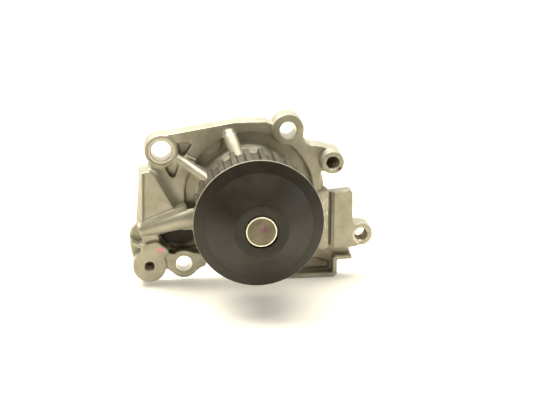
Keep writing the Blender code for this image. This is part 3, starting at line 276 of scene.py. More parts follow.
def rings(tree, space, pitch_mm):
    """Turning marks: a wave of the distance from the shaft's axis."""
    inputs = {1: 2 * math.pi / pitch_mm}
    links = {0: axis_distance(tree, space)}
    angle = add(tree, "Math", inputs, links, operation="MULTIPLY")
    return add(tree, "Math", links={0: angle.outputs[0]}, operation="SINE").outputs[0]


# ---- finishes ----


def die_cast_aluminium():
    """Aluminium, die cast and tumbled: a matt warm grey, lightened on its edges by wear and a painted
    edge highlight, with painted shade in its corners.
    """
    finish, tree, shader, space = new_finish("die_cast_aluminium", "#A9A491", 0.60, 0.47)
    cloud = grain(tree, space, 9.0, 4.0)
    colour = between(tree, cloud, "#9F9A87", "#B3AE9B")
    speckle = grain(tree, space, 0.6, 2.0)
    colour = blend(tree, remap(tree, speckle, 0.3, 0.7, 0.0, 0.22), colour, "#857F6C")
    # wear and painted edge highlight: outer edges are lightened
    wear_and_edge_highlight = remap(tree, openness(tree, 0.7, True), 0.80, 0.50, 0.0, 0.8)
    colour = blend(tree, wear_and_edge_highlight, colour, "#E2DCC7")
    # painted shade: hollow corners are darkened to a warm brown
    painted_corner_shade = remap(tree, openness(tree, 2.0), 0.70, 0.30, 0.0, 0.6)
    colour = blend(tree, painted_corner_shade, colour, "#5C4F36")
    # painted shade: the cavity under the horn is darkened almost to black
    painted_cavity_shade = spot(tree, space, (-37.5, -1.2, -23.2), (16.0, 9.0, 10.0), 0.4, 0.2)
    colour = blend(tree, remap(tree, painted_cavity_shade, 0.0, 1.0, 0.0, 0.96), colour, "#1A120A")
    # painted shade: the recess of the channel below the block is darkened
    painted_channel_shade = spot(tree, space, (42.0, -2.5, -41.0), (12.0, 5.5, 9.0), 0.8, 0.4)
    colour = blend(tree, remap(tree, painted_channel_shade, 0.0, 1.0, 0.0, 0.75), colour, "#54442A")
    # the ridge beside the block is scuffed: bright scratches that run along it
    scuffed = spot(tree, space, (41.3, -12.5, -13.0), (2.6, 1.6, 18.0), 0.5)
    along = add(tree, "Mapping", {"Scale": (1.0, 1.0, 0.22)}, {"Vector": space})
    scratch = grain(tree, along.outputs["Vector"], 0.55, 3.0, 0.7)
    bright = add(
        tree,
        "Math",
        links={0: remap(tree, scratch, 0.52, 0.66, 0.0, 0.9), 1: scuffed},
        operation="MULTIPLY",
    )
    colour = blend(tree, bright.outputs[0], colour, "#F3EFDC")
    # a dab of paint on the low boss, and a heat stain on the pillar
    pink = spot(tree, space, (-48.6, -12.0, -29.4), (1.5, 2.0, 1.5))
    colour = blend(tree, pink, colour, "#E07FA5")
    nick = spot(tree, space, (48.4, -17.7, 14.9), (1.9, 2.0, 1.4), 0.6)
    colour = blend(tree, nick, colour, "#5B4650")
    tree.links.new(colour, shader.inputs["Base Color"])
    dull = remap(tree, grain(tree, space, 3.0), 0.3, 0.7, 0.40, 0.56)
    tree.links.new(dull, shader.inputs["Roughness"])
    # the skin of the mould, then the grain of the tumbling
    skin = bump(tree, shader, grain(tree, space, 1.6, 3.0), 0.35, 0.05)
    bump(tree, shader, grain(tree, space, 0.45, 2.0), 0.35, 0.02, skin)
    return finish


def milled_aluminium():
    """The same aluminium where a cutter has faced it: lighter and smoother, with fine marks."""
    finish, tree, shader, space = new_finish("milled_aluminium", "#C8C0AA", 0.75, 0.36)
    colour = between(tree, grain(tree, space, 5.0), "#C0B8A4", "#CAC3B0")
    tree.links.new(colour, shader.inputs["Base Color"])
    inputs = {"Scale": 1 / 0.9, "Distortion": 0.4, "Detail": 1.0}
    marks = add(tree, "TexWave", inputs, {"Vector": space}, bands_direction="DIAGONAL")
    bump(tree, shader, marks.outputs["Fac"], 0.12, 0.02)
    return finish


def black_coated_steel():
    """Pressed steel with a satin black coat: broad soft reflections and faint mottling."""
    finish, tree, shader, space = new_finish("black_coated_steel", "#2C261D", 0.0, 0.48, IOR=1.40)
    colour = between(tree, grain(tree, space, 14.0, 4.0), "#1D180F", "#272116")
    # painted highlight: a thin light ring along the rim's edge
    rim = remap(tree, axis_distance(tree, space), 33.2, 33.4, 0.0, 0.6)
    colour = blend(tree, rim, colour, "#A69E8B")
    tree.links.new(colour, shader.inputs["Base Color"])
    dull = remap(tree, grain(tree, space, 5.0, 4.0), 0.3, 0.7, 0.36, 0.48)
    tree.links.new(dull, shader.inputs["Roughness"])
    bump(tree, shader, grain(tree, space, 0.5, 2.0), 0.12, 0.02)
    return finish


def sintered_steel():
    """Pressed and sintered powder, steam treated: grey-brown, open-pored and dull."""
    finish, tree, shader, space = new_finish("sintered_steel", "#554F42", 0.65, 0.52)
    colour = between(tree, grain(tree, space, 4.0, 4.0), "#4A4437", "#5F584A")
    pores = grain(tree, space, 0.35, 2.0)
    colour = blend(tree, remap(tree, pores, 0.55, 0.75, 0.0, 0.6), colour, "#3F392D")
    # wear and painted edge highlight: outer edges are lightened
    wear_and_edge_highlight = remap(tree, openness(tree, 0.5, True), 0.80, 0.50, 0.0, 0.5)
    colour = blend(tree, wear_and_edge_highlight, colour, "#A79F8B")
    tree.links.new(colour, shader.inputs["Base Color"])
    bump(tree, shader, pores, 0.3, 0.03)
    return finish


def ground_shaft_steel():
    """Hardened steel: ground bright on its side, turned and satin on its end, with a paint mark."""
    finish, tree, shader, space = new_finish("ground_shaft_steel", "#766E5D", 0.85, 0.38)
    colour = between(tree, grain(tree, space, 6.0, 3.0), "#5C5546", "#6E6757")
    upper = spot(tree, space, (0.5, -72.9, 3.4), (1.3, 3.0, 1.9), 0.5)
    colour = blend(tree, remap(tree, upper, 0.0, 1.0, 0.0, 0.6), colour, "#7B5F6B")
    lower = spot(tree, space, (1.9, -72.9, 0.9), (1.7, 3.0, 2.0), 0.5)
    colour = blend(tree, remap(tree, lower, 0.0, 1.0, 0.0, 0.9), colour, "#6A4259")
    rim = remap(tree, axis_distance(tree, space), 7.15, 7.30, 0.0, 1.0)
    colour = blend(tree, rim, colour, "#F0EAD5")
    tree.links.new(colour, shader.inputs["Base Color"])
    bump(tree, shader, rings(tree, space, 0.5), 0.10, 0.02)
    return finish


def plain_steel(name, colour, roughness, ring_pitch_mm):
    """Turned or ground steel: bright, with fine rings around its axis."""
    finish, tree, shader, space = new_finish(name, colour, 1.0, roughness)
    dull = remap(tree, grain(tree, space, 2.5), 0.3, 0.7, roughness - 0.05, roughness + 0.07)
    tree.links.new(dull, shader.inputs["Roughness"])
    bump(tree, shader, rings(tree, space, ring_pitch_mm), 0.10, 0.02)
    return finish


def zinc_plated_steel():
    """Pressed steel with clear zinc: pale grey with a faint yellow bloom."""
    finish, tree, shader, space = new_finish("zinc_plated_steel", "#C9C4B4", 1.0, 0.30)
    colour = between(tree, grain(tree, space, 4.0, 4.0), "#BBB49C", "#D2D0C6")
    tree.links.new(colour, shader.inputs["Base Color"])
    bump(tree, shader, grain(tree, space, 0.6), 0.08, 0.02)
    return finish


def nitrile_rubber():
    """Moulded black rubber: dull, with a fine skin and a little bloom."""
    finish, tree, shader, space = new_finish("nitrile_rubber", "#1B1B1B", 0.0, 0.70)
    colour = between(tree, grain(tree, space, 3.0, 4.0), "#161616", "#262524")
    tree.links.new(colour, shader.inputs["Base Color"])
    bump(tree, shader, grain(tree, space, 0.4), 0.25, 0.03)
    return finish


def moulded_plastic(name, low, high, roughness):
    """Moulded plastic: flow clouds, and glass fibre that shows as short streaks in the skin."""
    finish, tree, shader, space = new_finish(name, high, 0.0, roughness, IOR=1.53)
    colour = between(tree, grain(tree, space, 5.0, 4.0), low, high)
    tree.links.new(colour, shader.inputs["Base Color"])
    stretched = add(tree, "Mapping", {"Scale": (1.0, 0.2, 1.0)}, {"Vector": space})
    bump(tree, shader, grain(tree, stretched.outputs["Vector"], 0.5), 0.25, 0.03)
    return finish


def seal_carbon():
    """Resin-bonded carbon, lapped: near black with a soft sheen."""
    finish, tree, shader, space = new_finish("seal_carbon", "#242426", 0.1, 0.38)
    colour = between(tree, grain(tree, space, 0.8, 3.0), "#1C1C1E", "#2E2E31")
    tree.links.new(colour, shader.inputs["Base Color"])
    bump(tree, shader, rings(tree, space, 0.4), 0.05, 0.01)
    return finish


def alumina_ceramic():
    """Fired alumina: ivory white, smooth, with faint grains."""
    finish, tree, shader, space = new_finish("alumina_ceramic", "#E9E4D6", 0.0, 0.22, IOR=1.76)
    colour = between(tree, grain(tree, space, 1.0, 4.0), "#E2DCCB", "#EFEBDF")
    tree.links.new(colour, shader.inputs["Base Color"])
    bump(tree, shader, grain(tree, space, 0.5), 0.05, 0.01)
    return finish


def make_finishes():
    """One finish for each material slot of the record."""
    return {
        "cast_aluminium": die_cast_aluminium(),
        "milled": milled_aluminium(),
        "black_flange": black_coated_steel(),
        "sintered_steel": sintered_steel(),
        "shaft_steel": ground_shaft_steel(),
        "bearing_steel": plain_steel("ground_bearing_steel", "#B9B9B6", 0.26, 0.4),
        "ball_steel": plain_steel("polished_ball_steel", "#D2D2D2", 0.12, 3.0),
        "spring_steel": plain_steel("drawn_spring_steel", "#A8A8AA", 0.30, 0.3),
        "plated_steel": zinc_plated_steel(),
        "seal_rubber": nitrile_rubber(),
        "cage_polyamide": moulded_plastic("natural_polyamide", "#C9BFA3", "#DAD2BA", 0.50),
        "impeller_plastic": moulded_plastic("glass_filled_plastic", "#1D1C1B", "#2B2A28", 0.52),
        "carbon": seal_carbon(),
        "ceramic": alumina_ceramic(),
    }


# ---- mesh helpers ----


def on_circle(radius, degrees, y):
    """A point at a radius, an angle from +X towards +Z and a y."""
    angle = math.radians(degrees)
    return (radius * math.cos(angle), y, radius * math.sin(angle))


def object_from(name, bm):
    """Makes an object of a bmesh whose faces all point out."""
    mesh = bpy.data.meshes.new(name)
    bmesh.ops.recalc_face_normals(bm, faces=bm.faces[:])
    bm.to_mesh(mesh)
    bm.free()
    made = bpy.data.objects.new(name, mesh)
    bpy.context.scene.collection.objects.link(made)
    return made


def sleeve(name, rings_of_points, closed=False):
    """Joins rings of points with quads, and caps the two ends unless the last ring meets the first."""
    bm = bmesh.new()
    rows = [[bm.verts.new(at) for at in ring] for ring in rings_of_points]
    pairs = list(zip(rows, rows[1:]))
    if closed:
        pairs.append((rows[-1], rows[0]))
    for a, b in pairs:
        for i in range(len(a)):
            k = (i + 1) % len(a)
            bm.faces.new((a[i], a[k], b[k], b[i]))
    if not closed:
        bm.faces.new(rows[0])
        bm.faces.new(rows[-1])
    return object_from(name, bm)


def circle(radius, y, steps, centre=(0.0, 0.0)):
    """Points around an axis along Y."""
    angles = [2 * math.pi * i / steps for i in range(steps)]
    return [(centre[0] + radius * math.cos(a), y, centre[1] + radius * math.sin(a)) for a in angles]


def settle(obj):
    """Applies an object's modifiers and keeps the result as its mesh."""
    bpy.context.view_layer.update()
    evaluated = obj.evaluated_get(bpy.context.evaluated_depsgraph_get())
    mesh = bpy.data.meshes.new_from_object(evaluated)
    obj.modifiers.clear()
    obj.data = mesh
    return obj


def cad_mesh(node):
    """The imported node's mesh with its split corners welded, as a bmesh."""
    bm = bmesh.new()
    bm.from_mesh(frame["nodes"][node].data)
    bmesh.ops.remove_doubles(bm, verts=bm.verts[:], dist=0.000001)
    return bm


def profile_of(node):
    """A turned node's profile: its (radius, y) corners in order, read where the mesh meets +X."""
    bm = cad_mesh(node)
    on_plane = {v for v in bm.verts if abs(v.co.z) < 0.000002 and v.co.x > -0.000001}
    links = {v: [] for v in on_plane}
    for edge in bm.edges:
        a, b = edge.verts
        if a in on_plane and b in on_plane:
            links[a].append(b)
            links[b].append(a)
    ends = [v for v in on_plane if len(links[v]) == 1]
    here = max(ends or on_plane, key=lambda v: (-v.co.y, v.co.x))
    walked = [here]
    while True:
        onward = [v for v in links[here] if v not in walked]
        if not onward:
            break
        here = onward[0]
        walked.append(here)
    points = [(v.co.x, v.co.y) for v in walked]
    bm.free()
    return points, not ends


def rounded(points, radius, closed=True, steps=3):
    """Rounds each corner of an outline, by at most two fifths of its shorter side."""
    result = []
    count = len(points)
    for i, point in enumerate(points):
        if not closed and i in (0, count - 1):
            result.append(point)
            continue
        here = Vector(point)
        before = Vector(points[i - 1]) - here
        after = Vector(points[(i + 1) % count]) - here
        turn = before.angle(after)
        if turn > math.radians(172.0):
            result.append(point)
            continue
        cut = min(radius / math.tan(turn / 2), 0.4 * before.length, 0.4 * after.length)
        start, end = here + before.normalized() * cut, here + after.normalized() * cut
        for k in range(steps + 1):
            share = k / steps
            bend = start * (1 - share) ** 2 + here * 2 * share * (1 - share) + end * share**2
            result.append((bend.x, bend.y))
    return result


def turned(name, points, closed, steps, centre=(0.0, 0.0)):
    """Turns (radius, y) points about an axis along Y. An open profile is closed by its two poles."""
    return sleeve(name, [circle(radius, y, steps, centre) for radius, y in points], closed)


def threaded_bar(name, centre, core, depth, pitch, low, high, steps=40):
    """The space of a tapped hole: a bar whose radius follows a screw thread."""
    count = max(2, round((high - low) / pitch * THREAD_STEPS_PER_TURN))
    rows = []
    for j in range(count + 1):
        y = low + (high - low) * j / count
        row = []
        for i in range(steps):
            turn = (y / pitch - i / steps) % 1.0
            radius = core + depth * (1 - abs(2 * turn - 1))
            angle = 2 * math.pi * i / steps
            row.append((centre[0] + radius * math.cos(angle), y, centre[1] + radius * math.sin(angle)))
        rows.append(row)
    return sleeve(name, rows)


def rod(name, start, end, start_radius, end_radius, steps=24):
    """A round bar with domed ends between two points."""
    a, b = Vector(start), Vector(end)
    turn = (b - a).to_track_quat("Z", "Y").to_matrix()
    length = (b - a).length
    dome = 5
    rows = []
    for i in range(1, dome + 1):
        angle = math.pi / 2 * i / dome
        rows.append((start_radius * math.sin(angle), -start_radius * math.cos(angle)))
    for i in range(dome, 0, -1):
        angle = math.pi / 2 * i / dome
        rows.append((end_radius * math.sin(angle), length + end_radius * math.cos(angle)))
    made = []
    for radius, height in rows:
        angles = [2 * math.pi * k / steps for k in range(steps)]
        flat = [Vector((radius * math.cos(t), radius * math.sin(t), height)) for t in angles]
        made.append([a + turn @ at for at in flat])
    return sleeve(name, made)


def cut(target, cutter, operation="DIFFERENCE"):
    """Cuts or joins one closed mesh with another and removes the tool."""
    step = target.modifiers.new("Cut", "BOOLEAN")
    step.operation = operation
    step.object = cutter
    step.solver = "MANIFOLD"
    settle(target)
    bpy.data.objects.remove(cutter, do_unlink=True)


def shade(obj, degrees):
    """Smooth faces, with edges kept sharp above an angle."""
    obj.data.shade_smooth()
    obj.data.set_sharp_from_angle(angle=math.radians(degrees))


def dress(obj, node, *finishes):
    """Gives a piece its finishes and its body, and hides the node that it stands for."""
    obj.data.materials.clear()
    for finish in finishes:
        obj.data.materials.append(finish)
    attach(obj, BODY_OF[node])
    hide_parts(node)


# ---- casting ----


def opening_centre(name):
    """The (x, z) middle of a stated opening."""
    found = next(o for o in frame["record"]["physics"]["openings"] if o["name"] == name)
    (low_x, _, low_z), (high_x, _, high_z) = found["box_m"]
    return ((low_x + high_x) / 2, (low_z + high_z) / 2)


def mount_place(name):
    return next(m["pos_m"] for m in frame["record"]["mounts"] if m["name"] == name)


def radius_of(node):
    low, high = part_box(node)
    return (high.x - low.x) / 2


def machined_holes():
    """The rows of HOLES with their centre and the y of their face in place of mount and opening."""
    rows = []
    for name, mount, opening, boss, boss_rear, core, depth, pitch, rear in HOLES:
        point = mount_place(mount)
        if opening:
            centre = opening_centre(opening)
        else:
            centre = (point[0], point[2] + LOW_LEFT_HOLE_RISE)
        rows.append((name, centre, boss, boss_rear, core, depth, pitch, point[1], rear))
    return rows


def rough_casting():
    """The casting before machining: holes and bores filled, and stock left behind the face."""
    bm = cad_mesh("pump_housing")
    for vert in bm.verts:
        if vert.co.y > -0.00002:
            vert.co.y = REAR_STOCK
    casting = object_from("pump_casting", bm)
    tools = []
    for name, centre, boss, boss_rear, _, _, _, face, _ in machined_holes():
        round_boss = [(boss, face), (boss, boss_rear)]
        tools.append(turned(name + "_boss", round_boss, False, 96, centre))
    nose_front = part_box("pump_housing")[0].y
    bore = radius_of("bearing_outer_ring") + GAP
    core_profile = [
        (bore + 0.001, nose_front + 0.0001),
        (bore + 0.001, -0.0160),
        (radius_of("seal_cup") + 0.0010, -0.0120),
        (CAVITY_PLUG_RADIUS, -0.0052),
        (CAVITY_PLUG_RADIUS, REAR_STOCK),
    ]
    tools.append(turned("bore_plug", core_profile, False, 64))
    for name, foot, end, *radii in RIB_SKINS:
        tools.append(rod(name + "_skin", on_circle(*foot), on_circle(*end), *radii))
    for tool in [*tools, panel_fillet(), block_side()]:
        cut(casting, tool, "UNION")
    return casting


def panel_fillet():
    """The wide hollow curve between the raised panel and the plate beside it."""
    across = (
        (0.0, 9.0), (0.0, 13.4), (0.3, 12.5), (0.8, 11.7), (1.5, 11.1), (2.4, 10.6), (3.6, 10.25),
        (5.0, 10.05), (6.4, 9.97), (6.4, 9.0),
    )
    line = ((-0.0530, 0.0152), (-0.0506, 0.0129), (-0.0404, -0.0066), (-0.0400, -0.0090))
    rows = []
    for i, (x, z) in enumerate(line):
        a, b = line[max(i - 1, 0)], line[min(i + 1, len(line) - 1)]
        out = Vector((a[1] - b[1], b[0] - a[0])).normalized()
        reach = 1.0 if i in (1, 2) else 0.35
        rows.append(
            [(x + out.x * d * reach * MM, -h * MM, z + out.y * d * reach * MM) for d, h in across]
        )
    return sleeve("panel_fillet", rows)


def block_side():
    """The sloping left side of the block, down to the crease beside the ridge."""
    across = (
        (44.7, 9.0), (44.7, 11.6), (45.3, 12.5), (46.2, 13.1), (47.4, 13.5), (48.2, 13.5), (48.2, 9.0),
    )
    rows = [[(x * MM, -h * MM, z) for x, h in across] for z in (-0.0308, -0.0002)]
    return sleeve("block_side", rows)


def soften(casting):
    """Rounds every edge and corner a little, as a mould leaves them."""
    remesh = casting.modifiers.new("Skin", "REMESH")
    remesh.mode = "VOXEL"
    remesh.voxel_size = CAST_VOXEL
    smooth = casting.modifiers.new("Soften", "SMOOTH")
    smooth.factor = 0.5
    smooth.iterations = CAST_SMOOTH_STEPS
    return settle(casting)


def machine(casting):
    """Faces the mounting side, bores the axis and drills the holes."""
    wide = 0.2
    bm = bmesh.new()
    block = Matrix.Translation((0.0, wide / 2, 0.0)) @ Matrix.Scale(wide, 4)
    bmesh.ops.create_cube(bm, size=1.0, matrix=block)
    cut(casting, object_from("facing_cut", bm))
    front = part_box("pump_housing")[0].y
    ring_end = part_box("bearing_outer_ring")[1].y
    bore = radius_of("bearing_outer_ring") + GAP
    seal = SEAL_BORE_RADIUS + GAP
    seal_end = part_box("seal_cup")[0].y - GAP
    profile = [
        (bore + 0.0007, front - 0.001),
        (bore + 0.0007, front),
        (bore, front + 0.0007),
        (bore, ring_end + GAP),
        (BEARING_SHOULDER_RADIUS, ring_end + GAP),
        (BEARING_SHOULDER_RADIUS, seal_end),
        (seal, seal_end),
        (seal, -CAVITY_DEPTH - 0.0003),
        (seal + 0.0003, -CAVITY_DEPTH),
        (CAVITY_RADIUS - 0.0006, -CAVITY_DEPTH),
        (CAVITY_RADIUS, -CAVITY_DEPTH + 0.0006),
        (CAVITY_RADIUS, -0.0004),
        (CAVITY_RADIUS + 0.0004, 0.0),
        (CAVITY_RADIUS + 0.0004, BEHIND),
    ]
    cut(casting, turned("axis_bores", profile, False, 128))
    groove = [
        (SEAL_GROOVE_OUTER, BEHIND),
        (SEAL_GROOVE_OUTER, -SEAL_GROOVE_DEPTH),
        (SEAL_GROOVE_INNER, -SEAL_GROOVE_DEPTH),
        (SEAL_GROOVE_INNER, BEHIND),
    ]
    cut(casting, turned("seal_groove_cut", groove, True, 128))
    middle = (seal_end + ring_end) / 2
    weep_ends = (0.0, middle, -0.010), (0.0, middle, -0.048)
    cut(casting, rod("weep_cut", *weep_ends, WEEP_RADIUS, WEEP_RADIUS))
    for name, centre, _, _, core, depth, pitch, face, rear in machined_holes():
        air = face - FRONT_AIR
        mouth = core + max(depth, MOUTH_CHAMFER)
        if depth:
            cut(casting, threaded_bar(name, centre, core, depth, pitch, air, rear))
            mouth_end = (core, face + depth)
        else:
            cut(casting, turned(name, [(core, air), (core, rear)], False, 64, centre))
            mouth_end = (core - 0.001, face + MOUTH_CHAMFER + 0.001)
        mouth_cut = [(mouth + 0.001, face - 0.001), mouth_end]
        cut(casting, turned(name + "_mouth", mouth_cut, False, 64, centre))
    pin = [
        (EJECTOR_PIN_OUTER, BLOCK_FACE - 0.001),
        (EJECTOR_PIN_OUTER, BLOCK_FACE + 0.0001),
        (EJECTOR_PIN_INNER, BLOCK_FACE + 0.0001),
        (EJECTOR_PIN_INNER, BLOCK_FACE - 0.001),
    ]
    cut(casting, turned("ejector_pin_mark", pin, True, 48, EJECTOR_PIN_CENTRE))
    seat = mount_place("m10_bolt_face")[1]
    spot_face = [(M10_SEAT_RADIUS, seat - 0.005), (M10_SEAT_RADIUS, seat)]
    cut(casting, turned("m10_seat_cut", spot_face, False, 64, opening_centre("m10_bolt_hole")))
    return casting


def thin_out(casting):
    """Merges small triangles where the casting is nearly flat."""
    casting.data.calc_loop_triangles()
    count = len(casting.data.loop_triangles)
    if count > CAST_TRIANGLES:
        thin = casting.modifiers.new("Thin", "DECIMATE")
        thin.ratio = CAST_TRIANGLES / count
        settle(casting)
    return casting


def mark_milled_faces(casting):
    """The second finish goes on the flat faces that a cutter leaves, seen along the shaft."""
    seat_x, seat_z = opening_centre("m10_bolt_hole")
    seat_y = mount_place("m10_bolt_face")[1]
    tapped = [
        (centre, core + depth + 0.0002)
        for _, centre, _, _, core, depth, _, _, _ in machined_holes()
    ]
    for polygon in casting.data.polygons:
        x, y, z = polygon.center
        on_seat = math.hypot(x - seat_x, z - seat_z) < M10_SEAT_RADIUS + 0.0001
        faced = abs(y - seat_y) < 0.0002 and abs(polygon.normal.y) > 0.9
        in_hole = any(math.hypot(x - cx, z - cz) < reach for (cx, cz), reach in tapped)
        if y > -0.00002 or in_hole or (on_seat and faced):
            polygon.material_index = 1


def build_casting(finishes):
    casting = thin_out(machine(soften(rough_casting())))
    dress(casting, "pump_housing", finishes["cast_aluminium"], finishes["milled"])
    mark_milled_faces(casting)
    shade(casting, 38.0)
    flat = casting.modifiers.new("Flat", "WEIGHTED_NORMAL")
    flat.weight = 90
    flat.keep_sharp = True


# ---- pulley, flange, shaft and the other turned pieces ----


def tooth_outline(inset=0.0):
    """The toothed outline with rounded grooves and softened land edges."""
    tip = radius_of("front_flange") - TIP_UNDER_FLANGE
    root = tip - TOOTH_DEPTH
    step = 2 * math.pi / TOOTH_COUNT
    points = []
    for tooth in range(TOOTH_COUNT):
        middle = FIRST_TOOTH + (tooth + 0.5) * step
        half = []
        for i in range(4):
            angle = math.radians(90 * i / 3)
            offset = GROOVE_HALF_WIDTH + LAND_CORNER * (1 - math.sin(angle))
            half.append((tip - LAND_CORNER * (1 - math.cos(angle)), offset))
        wall = GROOVE_HALF_WIDTH - GROOVE_DRAFT
        for i in range(6):
            angle = math.radians(90 * i / 5)
            offset = wall - GROOVE_CORNER * (1 - math.cos(angle))
            half.append((root + GROOVE_CORNER * (1 - math.sin(angle)), offset))
        for side, walk in ((-1, half), (1, half[::-1])):
            for radius, offset in walk:
                radius = min(radius, tip - inset)
                points.append((radius, middle + side * offset / radius))
    return [(r * math.cos(a), r * math.sin(a)) for r, a in points]


def build_pulley(finishes):
    low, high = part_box("drive_pulley")
    front, rear = low.y, high.y
    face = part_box("front_flange")[1].y + GAP
    chamfer = TOOTH_END_CHAMFER
    rows = []
    for y, inset in ((face, chamfer), (face + chamfer, 0), (rear - chamfer, 0), (rear, chamfer)):
        rows.append([(x, y, z) for x, z in tooth_outline(inset)])
    pulley = sleeve("drive_pulley_finished", rows)
    bore = radius_of("pump_shaft") + GAP
    hub = bore + HUB_WALL
    hub_profile = [(hub - 0.0003, front), (hub, front + 0.0003), (hub, face + PULLEY_WEB / 2)]
    cut(pulley, turned("hub", hub_profile, False, 64), "UNION")
    wall = radius_of("drive_pulley") - TOOTH_DEPTH - PULLEY_RIM
    inside = face + PULLEY_WEB
    hollow = [
        (bore + 0.001, inside),
        (wall - 0.0015, inside),
        (wall - 0.0004, inside + 0.0004),
        (wall, inside + 0.0015),
        (wall, rear - 0.0006),
        (wall + 0.0006, rear),
        (wall + 0.0006, rear + 0.002),
    ]
    cut(pulley, turned("hollow", hollow, False, 96))
    cut(pulley, turned("bore", [(bore, front - 0.002), (bore, rear)], False, 64))
    dress(pulley, "drive_pulley", finishes["sintered_steel"])
    shade(pulley, 28.0)


# node, corner radius in millimetres, steps around
TURNED_NODES = (
    ("front_flange", 0.9, 160),
    ("pump_shaft", 0.15, 96),
    ("bearing_outer_ring", 0.3, 96),
    ("front_bearing_seal", 0.2, 72),
    ("rear_bearing_seal", 0.2, 72),
    ("seal_cup", 0.5, 96),
    ("seal_bellows", 0.4, 80),
    ("seal_spring_seat", 0.2, 72),
    ("carbon_face_ring", 0.3, 80),
    ("ceramic_seat_ring", 0.3, 80),
    ("seat_rubber_cup", 0.3, 72),
    ("housing_seal_ring", 0.6, 120),
)


def build_turned_pieces(finishes):
    for node, corner_mm, steps in TURNED_NODES:
        points, closed = profile_of(node)
        if not closed:
            points = [p for p in points if p[0] > 0.000001]
            # the turned end has a much finer chamfer than the model's
            side, end = points[1][0], points[0][1]
            points[:2] = [(side - FINE_CHAMFER, end), (side, end + FINE_CHAMFER)]
        outline = rounded(points, corner_mm * MM, closed)
        piece = turned(node + "_finished", outline, closed, steps)
        dress(piece, node, finishes[SLOT_OF[node]])
        shade(piece, 30.0)


def build_balls(finishes):
    for row in ("front", "rear"):
        for i in range(1, BALLS_PER_ROW + 1):
            node = f"{row}_ball_{i}"
            low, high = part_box(node)
            bm = bmesh.new()
            middle = Matrix.Translation((low + high) / 2)
            radius = (high.y - low.y) / 2
            bmesh.ops.create_uvsphere(bm, u_segments=32, v_segments=16, radius=radius, matrix=middle)
            ball = object_from(node + "_finished", bm)
            dress(ball, node, finishes["ball_steel"])
            ball.data.shade_smooth()


def bevelled(node, width, finish):
    """A node's own shape with its flat faces merged and its edges rounded."""
    bm = cad_mesh(node)
    bmesh.ops.dissolve_limit(
        bm, angle_limit=math.radians(1.0), verts=bm.verts[:], edges=bm.edges[:]
    )
    piece = object_from(node + "_finished", bm)
    edge = piece.modifiers.new("Edge", "BEVEL")
    edge.width = width
    edge.segments = 2
    edge.limit_method = "ANGLE"
    edge.angle_limit = math.radians(35.0)
    settle(piece)
    dress(piece, node, finish)
    shade(piece, 30.0)


def build_spring(finishes):
    """A round wire along a helix, cut off square at its ends."""
    low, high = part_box("seal_spring")
    wire = SPRING_WIRE_RADIUS
    coil_radius = (high.x - low.x) / 2 - wire
    per_turn, around = 48, 12
    count = SPRING_TURNS * per_turn
    rows = []
    for i in range(count + 1):
        angle = -2 * math.pi * i / per_turn
        y = low.y + wire + (high.y - low.y - 2 * wire) * i / count
        out = Vector((math.cos(angle), 0.0, math.sin(angle)))
        row = []
        for k in range(around):
            turn = 2 * math.pi * k / around
            lift = Vector((0.0, y + wire * math.sin(turn), 0.0))
            row.append(out * (coil_radius + wire * math.cos(turn)) + lift)
        rows.append(row)
    spring = sleeve("seal_spring_finished", rows)
    dress(spring, "seal_spring", finishes["spring_steel"])
    shade(spring, 40.0)


# ---- floor, light and camera ----


def build_floor():
    bm = bmesh.new()
    bmesh.ops.create_grid(bm, x_segments=1, y_segments=1, size=FLOOR_SIZE / 2)
    floor = object_from("floor", bm)
    floor.location.z = cad_box[0][2]
    finish, tree, shader, space = new_finish("pale_table", "#D8D2C2", 0.0, 0.75)
    colour = between(tree, grain(tree, space, 300.0), "#D6D0C0", "#DAD4C5")
    shader.inputs["Emission Color"].default_value = linear("#FFFFFA")
    shader.inputs["Emission Strength"].default_value = 0.22
    tree.links.new(colour, shader.inputs["Base Color"])
    floor.data.materials.append(finish)


def area_light(name, place, aim, size, power, colour):
    data = bpy.data.lights.new(name, "AREA")
    data.shape = "RECTANGLE"
    data.size, data.size_y = size
    data.energy = power
    data.color = linear(colour)[:3]
    light = bpy.data.objects.new(name, data)
    light.location = place
    light.rotation_euler = (Vector(aim) - Vector(place)).to_track_quat("-Z", "Y").to_euler()
    bpy.context.scene.collection.objects.link(light)


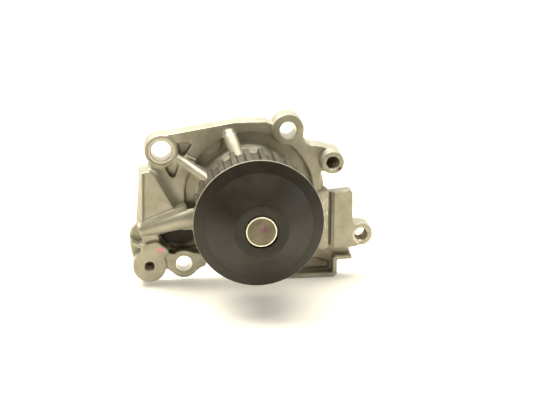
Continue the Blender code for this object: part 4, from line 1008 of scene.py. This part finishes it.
def build_light():
    world = bpy.data.worlds.new("studio")
    world.use_nodes = True
    tree = world.node_tree
    place = add(tree, "TexCoord")
    parts = add(tree, "SeparateXYZ", links={0: place.outputs["Generated"]})
    # dim in front of the pump, where its face looks, and bright behind it
    power = remap(tree, parts.outputs["Y"], -0.5, 0.6, WORLD_FRONT, WORLD_BACK)
    background = tree.nodes["Background"]
    background.inputs["Color"].default_value = linear("#FBF9F1")
    tree.links.new(power, background.inputs["Strength"])
    bpy.context.scene.world = world
    middle = (0.0, -0.03, 0.0)
    area_light("key_softbox", (-0.42, 0.18, 0.90), middle, (0.7, 0.7), 20.0, "#FFFDF6")
    area_light("right_softbox", (1.1, -0.35, 0.40), middle, (0.6, 0.6), 3.0, "#FFFCF4")
    area_light("top_softbox", (0.25, 0.10, 1.0), middle, (0.9, 0.7), 14.0, "#FFFDF6")
    bpy.context.scene.view_settings.view_transform = "Standard"


def build_camera():
    az, el = VIEW_AZIMUTH, VIEW_ELEVATION
    back = Vector((math.sin(az) * math.cos(el), -math.cos(az) * math.cos(el), math.sin(el)))
    right = Vector((math.cos(az), math.sin(az), 0.0))
    up = back.cross(right)
    data = bpy.data.cameras.new("camera")
    data.lens = LENS
    data.sensor_width = 36.0
    data.clip_start = 0.01
    camera = bpy.data.objects.new("camera", data)
    bpy.context.scene.collection.objects.link(camera)
    place = Matrix((right, up, back)).transposed().to_4x4()
    place.translation = VIEW_TARGET + back * VIEW_DISTANCE + right * VIEW_RIGHT + up * VIEW_UP
    camera.matrix_world = place
    bpy.context.scene.camera = camera


def follow_the_seal_face():
    """Gives the spring and the bellows meshes of their own."""
    for node in ("seal_spring", "seal_bellows"):
        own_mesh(bpy.data.objects[node + "_finished"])


def main():
    build_camera()
    build_light()
    build_floor()
    finishes = make_finishes()
    build_casting(finishes)
    build_pulley(finishes)
    build_turned_pieces(finishes)
    build_balls(finishes)
    build_spring(finishes)
    bevelled("impeller", 0.0003, finishes["impeller_plastic"])
    bevelled("front_ball_cage", 0.00015, finishes["cage_polyamide"])
    bevelled("rear_ball_cage", 0.00015, finishes["cage_polyamide"])
    follow_the_seal_face()


main()
